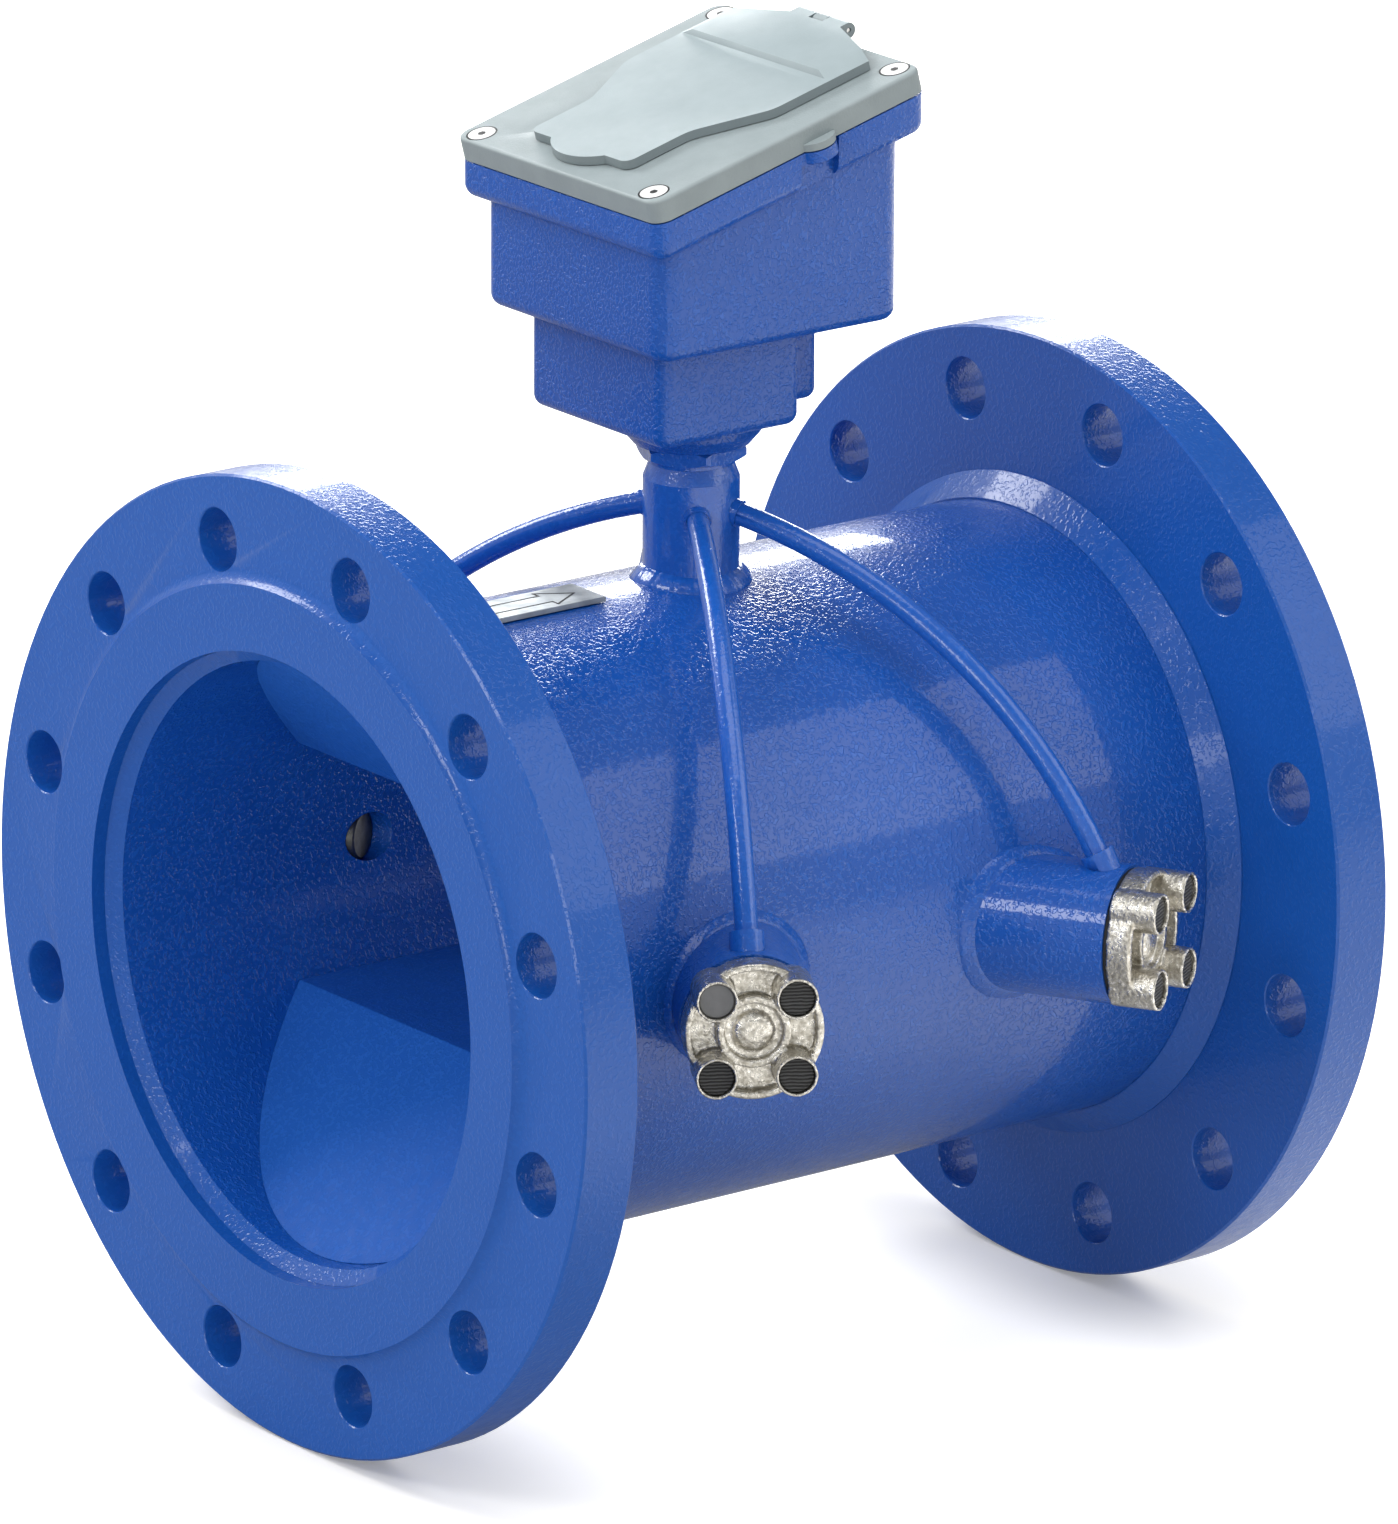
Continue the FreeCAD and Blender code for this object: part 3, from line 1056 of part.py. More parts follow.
def cable_gland():
    """A blanked gland on the outlet side of the low box."""
    place = Placement(Vector(MIDDLE + size("low_back") + size("seat_gap"), size("gland_offset"),
                             size("gland_height")), Rotation(Vector(0, 1, 0), 90))
    flats = doc.addObject("Part::Prism", "gland_flats")
    flats.Polygon = 6
    flats.setExpression("Circumradius", bound("gland_flats / 2 / cos(30)"))
    flats.setExpression("Height", bound("gland_flange"))
    flats.Placement = place
    stub = "gland_hole / 2 - seat_gap"
    core = turned("gland_core", [
        ("gland_insert_od / 2", "-head_wall - 1.5"), (stub, "-head_wall - 1.5"), (stub, "0.01"),
        ("gland_hole / 2 + 1.5", "0.01"), ("gland_hole / 2 + 1.5", "gland_flange"),
        ("gland_dome_od / 2 - 1.6", "gland_flange"), ("gland_dome_od / 2 - 1.6", "gland_flange + 4"),
        ("gland_insert_od / 2", "gland_flange + 4")], place)
    bore = cylinder("gland_bore", "gland_insert_od / 2", "40", place * Placement(Vector(0, 0, -15), Rotation()))
    joined = doc.addObject("Part::MultiFuse", "gland_solid")
    joined.Shapes = [flats, core]
    keep(less("cable_gland", joined, bore))
    keep(turned("gland_nut", [
        ("gland_dome_od / 2 - 1.55", "gland_flange + seat_gap"), ("gland_dome_od / 2", "gland_flange + seat_gap"),
        ("gland_dome_od / 2", "gland_flange + gland_dome_height - 3"),
        ("gland_insert_od / 2 + 1", "gland_flange + gland_dome_height"),
        ("gland_insert_od / 2 + 0.05", "gland_flange + gland_dome_height"),
        ("gland_insert_od / 2 + 0.05", "gland_flange + 4.05"), ("gland_dome_od / 2 - 1.55", "gland_flange + 4.05")],
        place))
    keep(cylinder("gland_insert", "gland_insert_od / 2 - seat_gap", "gland_flange + gland_dome_height - 1",
                  place))


def flow_arrow_plate():
    corner = Vector(MIDDLE - size("plate_end") - size("plate_length"), -size("plate_width") / 2,
                    size("pipe_od") / 2 + size("seat_gap"))
    keep(box("flow_arrow_plate", "plate_length", "plate_width", "plate_thickness",
             Placement(corner, Rotation())))


# ---------------------------------------------------------------- the whole meter
pipe_and_flanges()
flow_plate("upper_flow_plate", Placement(Vector(MIDDLE, 0, 0), Rotation()))
flow_plate("lower_flow_plate", Placement(Vector(MIDDLE, 0, 0), Rotation(Vector(1, 0, 0), 180)))
for name, azimuth in WELLS.items():
    well(name, azimuth)
    transducer(name, azimuth)
    cap(name, azimuth)
    conduit(name, azimuth)
cap_fittings()
neck_parts()
lock_nut()
head_housing()
lid_gasket()
lid_frame()
lid_screws()
cover_flap()
hinge_pin()
inside_head()
cable_gland()
flow_arrow_plate()
doc.recompute()

os.makedirs("parts", exist_ok=True)
for item in doc.Objects:
    if "Invalid" in item.State or "Error" in item.State:
        raise RuntimeError("did not recompute: " + item.Label)
for item in PARTS:
    shape = Part.getShape(item)
    if shape.isNull() or not shape.isValid():
        raise RuntimeError("no sound shape: " + item.Label)
for item in PARTS:
    Part.getShape(item).exportStep("parts/%s.step" % item.Label)
    print("%-24s %d solid(s) %10.1f mm3" % (item.Label, len(Part.getShape(item).Solids), item.Shape.Volume))
print(len(PARTS), "pieces written")
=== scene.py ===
# %% [markdown]
# # A flanged ultrasonic flow meter, dressed for a studio picture
# The real meter is a short length of steel pipe between two bolting flanges. Four angled wells
# carry sound probes, thin tubes take their leads to a neck, and a cast head on the neck holds the
# counter. The CAD model already has every size right, so it is loaded first and never moved.
# Everything below gives it a surface, softens its edges, and adds what only a picture needs.
# %% Load the CAD frame
import json
import math

import bmesh
import bpy
from mathutils import Matrix, Vector


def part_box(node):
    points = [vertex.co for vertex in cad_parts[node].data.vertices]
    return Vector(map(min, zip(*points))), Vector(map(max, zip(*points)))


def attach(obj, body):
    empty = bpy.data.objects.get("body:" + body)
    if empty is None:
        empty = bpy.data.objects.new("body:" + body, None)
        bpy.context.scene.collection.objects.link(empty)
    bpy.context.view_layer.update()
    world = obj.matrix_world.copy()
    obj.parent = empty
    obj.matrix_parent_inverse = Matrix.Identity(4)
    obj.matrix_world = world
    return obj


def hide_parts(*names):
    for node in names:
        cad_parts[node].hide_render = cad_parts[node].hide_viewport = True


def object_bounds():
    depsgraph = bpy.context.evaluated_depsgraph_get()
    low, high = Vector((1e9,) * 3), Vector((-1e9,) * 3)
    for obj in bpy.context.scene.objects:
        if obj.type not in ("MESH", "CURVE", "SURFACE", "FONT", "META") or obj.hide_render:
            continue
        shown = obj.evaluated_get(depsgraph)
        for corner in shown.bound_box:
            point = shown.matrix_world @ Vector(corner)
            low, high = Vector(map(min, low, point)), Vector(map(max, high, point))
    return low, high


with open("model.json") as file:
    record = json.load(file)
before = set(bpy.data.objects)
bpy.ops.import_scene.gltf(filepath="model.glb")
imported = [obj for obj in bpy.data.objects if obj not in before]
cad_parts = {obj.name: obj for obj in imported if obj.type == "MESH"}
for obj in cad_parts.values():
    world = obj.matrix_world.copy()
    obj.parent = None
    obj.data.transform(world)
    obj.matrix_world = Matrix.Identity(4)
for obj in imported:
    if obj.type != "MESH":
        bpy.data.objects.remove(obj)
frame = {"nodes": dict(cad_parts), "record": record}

nodes = frame["nodes"]
cad_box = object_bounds()
MM = 0.001


def rounded(vector, digits=3):
    return [round(value, digits) for value in vector]


print(len(nodes), "CAD nodes; box from", rounded(cad_box[0]), "to", rounded(cad_box[1]))

# %% [markdown]
# ## The camera
# A product picture is taken with a long lens from far away, so that parallel edges stay nearly
# parallel. The camera is given by the point it looks at, its direction and its distance, which is
# easier to reason about than a position and three angles. Lamps are placed the same way later.
# %% Camera
camera_target = Vector((0.18092, 0.00264, 0.04022))
camera_azimuth, camera_elevation, camera_roll = -37.352, 17.089, 0.259
camera_distance = 4.786


def aim(thing, target, azimuth, elevation, roll, distance):
    """Put a camera or lamp on a sphere round the target, looking at it."""
    turn, rise = math.radians(azimuth), math.radians(elevation)
    back = Vector((math.sin(turn) * math.cos(rise), -math.cos(turn) * math.cos(rise), math.sin(rise)))
    facing = (-back).to_track_quat("-Z", "Y").to_matrix().to_4x4()
    thing.matrix_world = (Matrix.Translation(target + back * distance) @ facing
                          @ Matrix.Rotation(math.radians(roll), 4, "Z"))


lens = bpy.data.cameras.new("studio_camera")
lens.lens = 327.4
lens.sensor_width = 36
lens.clip_start = 0.1
lens.clip_end = 50
camera = bpy.data.objects.new("studio_camera", lens)
bpy.context.scene.collection.objects.link(camera)
aim(camera, camera_target, camera_azimuth, camera_elevation, camera_roll, camera_distance)
bpy.context.scene.camera = camera
print("camera at", rounded(camera.matrix_world.translation))

# %% [markdown]
# ## Small tools for shader nodes
# A finish is a network of nodes, and writing out every node and wire would bury the idea. A few
# helpers add a node and fill in its inputs at once, where each input takes a plain value or the
# socket that feeds it. They are all that the world, the floor and the paints below are made with.
# %% Node helpers
def node_tree(owner):
    """The emptied node tree of a world or a material."""
    owner.use_nodes = True
    tree = owner.node_tree
    tree.nodes.clear()
    return tree


def feed(tree, node, values):
    """Fill in a node's inputs, each with a value or from another node's socket."""
    for name, value in values.items():
        if isinstance(value, bpy.types.NodeSocket):
            tree.links.new(value, node.inputs[name])
        else:
            node.inputs[name].default_value = value


def add(tree, kind, inputs=None, **options):
    """A new shader node with its options set and its inputs filled in."""
    made = tree.nodes.new(kind)
    for name, value in options.items():
        setattr(made, name, value)
    feed(tree, made, inputs or {})
    return made


def number_step(tree, operation, *values):
    """One step of arithmetic on numbers."""
    return add(tree, "ShaderNodeMath", dict(enumerate(values)), operation=operation).outputs[0]


def vector_step(tree, operation, output, *values):
    """One step of arithmetic on vectors."""
    return add(tree, "ShaderNodeVectorMath", dict(enumerate(values)), operation=operation).outputs[output]


def between(tree, factor, low, high, start=0.3, end=0.7, course="LINEAR"):
    """A number that runs from low to high as the factor runs from start to end."""
    made = add(tree, "ShaderNodeMapRange", interpolation_type=course)
    feed(tree, made, {"Value": factor, "From Min": start, "From Max": end, "To Min": low, "To Max": high})
    return made.outputs[0]


def mixed(tree, factor, first, second):
    """The first shader where the factor is 0, and the second where it is 1."""
    return add(tree, "ShaderNodeMixShader", {0: factor, 1: first, 2: second}).outputs[0]


print("node helpers ready")

# %% [markdown]
# ## The studio round the meter
# A studio is white to the eye, but a paint that mirrored plain white everywhere would look milky.
# So the world depends on the kind of ray: white where the camera sees it, half as bright as a source
# of soft light, and in the paint bright near the horizon and dim overhead, where the ceiling is.
# %% World
WHITE = (1, 1, 1, 1)
soft_strength, seen_strength = 0.55, 1.0
horizon_strength, ceiling_strength = 0.72, 0.16
ceiling_start, ceiling_end = 0.3, 0.6


def backdrop(tree, colour, strength):
    """Light of one colour from all round."""
    return add(tree, "ShaderNodeBackground", {"Color": colour, "Strength": strength}).outputs[0]


world = bpy.data.worlds.new("studio")
bpy.context.scene.world = world
tree = node_tree(world)
rays = add(tree, "ShaderNodeLightPath").outputs
direction = add(tree, "ShaderNodeTexCoord").outputs["Generated"]
upward = add(tree, "ShaderNodeSeparateXYZ", {0: direction}).outputs["Z"]
mirrored = backdrop(tree, (0.96, 0.98, 1, 1), between(tree, upward, horizon_strength, ceiling_strength,
                                                      ceiling_start, ceiling_end, "SMOOTHSTEP"))
lighting = mixed(tree, rays["Is Glossy Ray"], backdrop(tree, WHITE, soft_strength), mirrored)
seen = number_step(tree, "MAXIMUM", rays["Is Camera Ray"], rays["Is Transmission Ray"])
add(tree, "ShaderNodeOutputWorld",
    {"Surface": mixed(tree, seen, lighting, backdrop(tree, WHITE, seen_strength))})
bpy.context.scene.view_settings.view_transform = "Standard"
print("world ready")

# %% [markdown]
# ## Lamps
# Large soft lamps give round metal the long highlights that show how glossy its paint is. Four stand
# on the camera's side, and two strong ones behind draw a bright line along the pipe's back and the
# flanges' edges, which sets the blue off from the white. The camera doesn't see the lamps.
# %% Lamps
lamp_target = Vector(((cad_box[0].x + cad_box[1].x) / 2, 0, 0.03))


def softbox(name, azimuth, elevation, distance, size, power):
    """A rectangular lamp on a sphere round the meter, turned to face it."""
    data = bpy.data.lights.new(name, "AREA")
    data.shape = "RECTANGLE"
    data.size, data.size_y = size
    data.energy = power
    lamp = bpy.data.objects.new(name, data)
    bpy.context.scene.collection.objects.link(lamp)
    aim(lamp, lamp_target, azimuth, elevation, 0, distance)
    lamp.visible_camera = False
    return lamp


lamps = [softbox("top_light", -20, 78, 1.6, (1.3, 0.9), 7),
         softbox("key_light", -85, 38, 2.2, (0.7, 0.6), 11),
         softbox("front_light", 46, 34, 2.3, (1.7, 1.4), 12),
         softbox("camera_light", -56, 10, 2.6, (0.5, 0.9), 7),
         softbox("back_light", 142, 18, 2.4, (1.5, 0.5), 28),
         softbox("left_back_light", -160, 36, 2.4, (1.0, 0.7), 25)]
print(len(lamps), "lamps")

# %% [markdown]
# ## The floor
# The meter stands on the rims of its flanges on a pale sweep. A plane that only took light would
# turn grey against the white world, so it also glows a little. The glow is weaker in a narrow wedge
# where each round flange comes down to touch it, a painted contact shadow. In the paint the floor is
# bright only ahead and to the right: elsewhere it is painted dark in reflections only, a painted
# reflection, so the faces turned elsewhere keep a deep blue.
# %% Floor plane
def mesh_object(name, vertices, faces, smooth=False):
    """A new object from plain lists of vertices and faces."""
    data = bpy.data.meshes.new(name)
    data.from_pydata(vertices, [], faces)
    data.validate()
    if smooth:
        data.shade_smooth()
    made = bpy.data.objects.new(name, data)
    bpy.context.scene.collection.objects.link(made)
    return made


ground = cad_box[0].z - 0.3 * MM
floor_reach = 14
corners = [(x * floor_reach, y * floor_reach, ground) for x, y in ((-1, -1), (1, -1), (1, 1), (-1, 1))]
floor = mesh_object("floor", corners, [(0, 1, 2, 3)])
print("floor at z", round(ground, 4))

# %% Floor finish
painted_shadow_shift = 0.008
painted_shadow_spread = (0.075, 0.2, 1)  # along the pipe, across it and up, in metres
painted_shadow_start, painted_shadow_end = 0.2, 1.1  # counted in spreads
painted_shadow_glow, open_glow = 0.22, 0.74
ahead_right = (0.707, -0.707, 0)
dim_distance, bright_distance, painted_reflection_darkness = 0.16, 0.42, 0.8


def away_from(tree, place, where, spread):
    """How far a place lies from a point, counted in spreads, so that a spread can be long one way."""
    offset = vector_step(tree, "SUBTRACT", "Vector", place, where)
    return vector_step(tree, "LENGTH", "Value", vector_step(tree, "DIVIDE", "Vector", offset, spread))


def flat_colour(tree, red, green, blue):
    return add(tree, "ShaderNodeBsdfDiffuse", {"Color": (red, green, blue, 1)}).outputs[0]


pale = bpy.data.materials.new("pale_floor")
tree = node_tree(pale)
rays = add(tree, "ShaderNodeLightPath").outputs
spot = add(tree, "ShaderNodeTexCoord").outputs["Object"]
distances_to_painted_shadow = []
for flange in ("inlet_flange", "outlet_flange"):
    low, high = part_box(flange)
    distances_to_painted_shadow.append(away_from(tree, spot, ((low.x + high.x) / 2 + painted_shadow_shift, 0.0, ground), painted_shadow_spread))
# painted contact shadow: the glow drops near the foot of each flange
glow_with_painted_shadow = between(tree, number_step(tree, "MINIMUM", *distances_to_painted_shadow), painted_shadow_glow, open_glow,
                painted_shadow_start, painted_shadow_end, "SMOOTHSTEP")
seen = number_step(tree, "MAXIMUM", rays["Is Camera Ray"], rays["Is Transmission Ray"])
seen = number_step(tree, "MAXIMUM", seen, rays["Is Glossy Ray"])
strength = number_step(tree, "MULTIPLY", glow_with_painted_shadow, seen)
glow = add(tree, "ShaderNodeEmission", {"Color": WHITE, "Strength": strength})
lit = add(tree, "ShaderNodeAddShader", {0: flat_colour(tree, 0.88, 0.86, 0.82), 1: glow.outputs[0]})
# painted reflection: in reflections only, the floor behind and to the left is mixed towards near black
forward = vector_step(tree, "DOT_PRODUCT", "Value", spot, ahead_right)
painted_dark_reflection = between(tree, forward, painted_reflection_darkness, 0.0, dim_distance, bright_distance, "SMOOTHSTEP")
painted_dark_reflection = number_step(tree, "MULTIPLY", painted_dark_reflection, rays["Is Glossy Ray"])
add(tree, "ShaderNodeOutputMaterial",
    {"Surface": mixed(tree, painted_dark_reflection, lit.outputs[0], flat_colour(tree, 0.05, 0.05, 0.05))})
floor.data.materials.append(pale)
print("floor glows", open_glow, "and", painted_shadow_glow, "under the flanges")

# %% [markdown]
# ## Materials
# Every finish is built from nodes on object coordinates. All CAD nodes sit at the origin with their
# place in their mesh, so one metre of coordinate is one metre of meter, and a pattern given in
# millimetres has the same size on every piece. Each finish has a colour and a roughness that wander
# a little and a bump, because an even surface is what gives a model away.
# %% Helpers for finishes
finishes = {}


def rgb(red, green, blue):
    """A colour written as the eight-bit values one would read off a swatch, made linear."""
    def linear(value):
        value /= 255
        return value / 12.92 if value <= 0.04045 else ((value + 0.055) / 1.055) ** 2.4
    return (linear(red), linear(green), linear(blue), 1)


def new_finish(name):
    """A new finish: its node tree, its shader and the coordinates that its patterns use."""
    finishes[name] = bpy.data.materials.new(name)
    tree = node_tree(finishes[name])
    shader = add(tree, "ShaderNodeBsdfPrincipled")
    add(tree, "ShaderNodeOutputMaterial", {"Surface": shader.outputs[0]})
    return tree, shader, add(tree, "ShaderNodeTexCoord").outputs["Object"]


def noise(tree, place, size_mm, detail=2.0, stretch=None):
    """Soft noise whose blotches are about size_mm across."""
    if stretch:
        place = add(tree, "ShaderNodeMapping", {"Vector": place, "Scale": stretch}).outputs[0]
    return add(tree, "ShaderNodeTexNoise", {"Vector": place, "Scale": 1.0 / (size_mm * MM), "Detail": detail,
                                            "Roughness": 0.55}).outputs["Fac"]


def two_tone(tree, shader, factor, first, second, start=0.35, end=0.65):
    """Colour the shader from first to second as the factor runs from start to end."""
    ramp = add(tree, "ShaderNodeValToRGB", {0: factor})
    stops = ramp.color_ramp.elements
    stops[0].position, stops[0].color = start, first
    stops[1].position, stops[1].color = end, second
    feed(tree, shader, {"Base Color": ramp.outputs[0]})


def bump(tree, shader, *layers):
    """Stack bumps, each given as (height, depth in mm), under the colour and the clear coat alike."""
    normal = None
    for height, depth_mm in layers:
        made = add(tree, "ShaderNodeBump", {"Height": height, "Strength": 1.0, "Distance": depth_mm * MM})
        if normal:
            feed(tree, made, {"Normal": normal})
        normal = made.outputs[0]
    feed(tree, shader, {"Normal": normal, "Coat Normal": normal})


print("finish helpers ready")

# %% [markdown]
# ## Blue paint
# The steel is sprayed with glossy blue, and the paint catches grit and dries in small drops. A bump
# that rolls everywhere would scatter the highlights into haze, so each paint is nearly flat, with
# separate low lumps, under a smooth clear coat. The five paints differ in what lies beneath: rolled
# pipe, turned flanges, sand casting, drawn tube, and the bent plates inside. The plates' paint is
# also a paler copy of the blue, painted light that lifts the shaded bore.
# %% Blue paints
shade_mm, wave_size_mm, sheen_mm = 30, 60, 5
lump_paleness = 0.6


def lumps_in_paint(tree, place, size_mm):
    """Flat almost everywhere, with separate small lumps."""
    return between(tree, noise(tree, place, size_mm, 1), 0.0, 1.0, 0.5, 0.61)


def blue_paint(name, light, dark, pebble, lump, rough, coat, gloss=0.2, wave_mm=0.0):
    """Sprayed paint; pebble is the metal beneath and lump the grit, each as size and depth in mm."""
    tree, shader, place = new_finish(name)
    lumps = lumps_in_paint(tree, place, lump[0])
    # The colour pales on the lumps, where the paint is thin, and wanders slowly over the piece.
    wander = between(tree, noise(tree, place, shade_mm, 1), 0.15, 0.35)
    shade = number_step(tree, "MULTIPLY_ADD", lumps, lump_paleness, wander)
    two_tone(tree, shader, shade, dark, light, 0.0, 1.0)
    bump(tree, shader, (noise(tree, place, wave_size_mm, 0), wave_mm),
         (noise(tree, place, pebble[0], 0), pebble[1]), (lumps, lump[1]))
    sheen = noise(tree, place, sheen_mm, 1)
    feed(tree, shader, {"Roughness": between(tree, sheen, rough - 0.04, rough + 0.06),
                        "Coat Weight": coat, "Coat Roughness": 0.07, "Specular IOR Level": gloss})


blue_paint("pipe_paint", rgb(26, 92, 184), rgb(14, 77, 166), (2.8, 0.05), (1.5, 0.14), 0.34, 0.8,
           wave_mm=0.1)
blue_paint("flange_paint", rgb(23, 86, 172), rgb(19, 81, 166), (3.4, 0.02), (1.7, 0.07), 0.36, 0.5)
blue_paint("casting_paint", rgb(26, 90, 182), rgb(14, 75, 162), (1.9, 0.1), (1.3, 0.18), 0.32, 0.55)
blue_paint("tube_paint", rgb(29, 96, 190), rgb(22, 86, 178), (2.8, 0.02), (1.5, 0.035), 0.3, 0.9, gloss=0.3)
# paler than the outside paint: painted light on the plates in the shaded bore
blue_paint("plate_paint_with_painted_light", rgb(36, 99, 190), rgb(27, 88, 177), (4.0, 0.03), (1.5, 0.08), 0.5, 0.0, gloss=0.15)
print(len(finishes), "paints")

# %% [markdown]
# ## Greys, whites and blacks
# The lid is powder-coated and the flap, screws, plugs and the pieces inside the head are moulded.
# They share one recipe: a single colour, a fine even grain and a little wear from handling. Only
# the numbers differ, so one function with a row of numbers for each serves them all.
# %% Moulded finishes
mottle_mm, dimple_mm, dimple_depth = 14, 9, 0.04


def moulded(name, first, second, grain_mm, grain_depth, rough, coat=0.0):
    """A moulded or powder-coated surface, with its grain as size and depth in mm."""
    tree, shader, place = new_finish(name)
    two_tone(tree, shader, noise(tree, place, mottle_mm, 5), first, second)
    bump(tree, shader, (noise(tree, place, grain_mm), grain_depth),
         (noise(tree, place, dimple_mm), dimple_depth))
    sheen = noise(tree, place, sheen_mm, 5)
    feed(tree, shader, {"Roughness": between(tree, sheen, rough - 0.05, rough + 0.08),
                        "Coat Weight": coat, "Coat Roughness": 0.2})


moulded("lid_coat_with_painted_shade", rgb(161, 173, 176), rgb(154, 166, 169), 0.7, 0.09, 0.5)
moulded("flap_coat_with_painted_shade", rgb(166, 180, 184), rgb(161, 175, 179), 0.6, 0.06, 0.46)
moulded("white_plastic", rgb(248, 249, 249), rgb(243, 244, 245), 0.5, 0.01, 0.35)
moulded("black_rubber", rgb(30, 30, 31), rgb(22, 22, 23), 0.5, 0.03, 0.7)
moulded("black_plastic", rgb(36, 36, 38), rgb(26, 26, 28), 0.5, 0.03, 0.45)
moulded("grey_seal", rgb(122, 123, 124), rgb(104, 105, 107), 0.8, 0.05, 0.5)
moulded("board_green", rgb(28, 104, 60), rgb(20, 84, 48), 1.2, 0.02, 0.35, 0.4)
moulded("cell_wrap", rgb(214, 178, 52), rgb(202, 165, 40), 3.0, 0.01, 0.3, 0.5)
moulded("terminal_green", rgb(50, 120, 80), rgb(40, 104, 68), 0.8, 0.02, 0.4)
moulded("display_dark", rgb(96, 106, 92), rgb(88, 98, 85), 3.0, 0.005, 0.25, 0.5)
moulded("arrow_ink", rgb(22, 24, 28), rgb(16, 18, 21), 0.6, 0.01, 0.7)
print("finishes so far:", len(finishes))

# %% [markdown]
# ## Painted shade on the lid's edges
# The lid and its flap lie flat on a tilted head, and their thin edges and steps look much darker than
# their tops, more than soft light alone makes them. The direction a face points in, compared with
# the lid's own up, tells the two apart, so the finish paints that shade into its own colour wherever
# a face is steep.
# %% Painted shade on steep faces
head_tilt = math.radians(14.8)
lid_up = Vector((-math.sin(head_tilt), 0, math.cos(head_tilt)))
steep, level = 0.25, 0.98  # how much of a face's direction lies along the lid's up


def paint_shade_on_steep_faces(name, share):
    """Paint shade on every face of a finish that leans away from the lid's up: it keeps only a share of its
    colour.
    """
    tree = finishes[name].node_tree
    shader = next(node for node in tree.nodes if node.type == "BSDF_PRINCIPLED")
    colour = shader.inputs["Base Color"].links[0].from_socket
    facing = add(tree, "ShaderNodeTexCoord").outputs["Normal"]
    lean = vector_step(tree, "DOT_PRODUCT", "Value", facing, lid_up)
    colour_kept_in_painted_shade = between(tree, lean, share, 1.0, steep, level, "SMOOTHSTEP")
    painted_shade_colour = add(tree, "ShaderNodeVectorMath", {0: colour, "Scale": colour_kept_in_painted_shade}, operation="SCALE")
    feed(tree, shader, {"Base Color": painted_shade_colour.outputs[0]})


# painted shade: steep faces of the lid and flap keep only part of their colour
paint_shade_on_steep_faces("lid_coat_with_painted_shade", 0.72)
paint_shade_on_steep_faces("flap_coat_with_painted_shade", 0.55)
print("lid points", rounded(lid_up))

# %% [markdown]
# ## Ribbed black plugs
# The plugs that close the caps' screw cups are cut from ribbed stock: level grooves, uneven in depth
# and length, cross each face. Modelled grooves would be thousands of faces on pieces of 12 mm, so
# a wave pattern with some distortion makes them in the bump, and in the colour as painted shade in
# the grooves and a painted highlight on the ridges.
# %% Ribbed black
groove_pitch = 1.2331 * MM
plain_wave = 2 * math.pi / 20  # a wave texture of scale 1 repeats once in this many metres
tree, shader, place = new_finish("ribbed_black_with_painted_shade")
bands = add(tree, "ShaderNodeTexWave", {"Vector": place, "Scale": plain_wave / groove_pitch,
                                        "Distortion": 2.4, "Detail": 2.0}, bands_direction="Z")
grooves = bands.outputs["Fac"]
# painted shade and highlight: near black in the grooves, grey on the ridges
two_tone(tree, shader, grooves, rgb(14, 14, 15), rgb(74, 75, 76), 0.2, 0.55)
bump(tree, shader, (grooves, 0.5), (noise(tree, place, 0.6), 0.05))
feed(tree, shader, {"Roughness": 0.5})
print("grooves every", round(groove_pitch / MM, 2), "mm")

# %% [markdown]
# ## Bare metals and the window
# The caps are bare castings, the plate is brushed, and screws, probes and gland are turned or plated.
# The probes' steel is darker, painted shade of the deep ports they sit in.
# On real metal the dull patches are also the dark ones, so one noise drives both the colour and the
# roughness. The plate's grain is the same noise stretched along the pipe. The window is a clear
# plastic pane, slightly uneven from wiping.
# %% Metals
dent_mm, dent_depth = 4, 0.06


def metal(name, first, second, rough, grain_mm, grain_depth, blotch_mm=6, stretch=None):
    """Bare metal, with its grain as size and depth in mm and its dull patches blotch_mm across."""
    tree, shader, place = new_finish(name)
    patch = noise(tree, place, blotch_mm, 5)
    two_tone(tree, shader, patch, first, second, 0.3, 0.7)
    bump(tree, shader, (noise(tree, place, grain_mm, 3, stretch), grain_depth),
         (noise(tree, place, dent_mm), dent_depth))
    feed(tree, shader, {"Metallic": 1.0, "Roughness": between(tree, patch, rough + 0.1, rough - 0.05)})


metal("cast_silver", rgb(164, 158, 145), rgb(242, 239, 231), 0.27, 1.3, 0.42, 2.0)
metal("zinc", rgb(176, 178, 180), rgb(204, 206, 208), 0.34, 0.8, 0.03)
metal("turned_steel", rgb(168, 168, 168), rgb(200, 200, 199), 0.28, 0.7, 0.02)
# darker than the turned steel: painted shade of the deep ports
metal("probe_steel_in_painted_shade", rgb(84, 84, 82), rgb(112, 112, 110), 0.45, 0.7, 0.02)
metal("nickel", rgb(188, 184, 172), rgb(210, 206, 196), 0.26, 0.8, 0.02)
metal("plate_metal", rgb(150, 157, 160), rgb(170, 176, 179), 0.5, 0.35, 0.02, 8, (0.04, 1, 1))
print("metals added:", len(finishes), "finishes")

# %% Window
tree, shader, place = new_finish("clear_pane")
feed(tree, shader, {"Transmission Weight": 1.0, "IOR": 1.49, "Base Color": (0.95, 0.98, 0.98, 1),
                    "Roughness": between(tree, noise(tree, place, 3, 3), 0.03, 0.09)})
print("all finishes:", sorted(finishes))

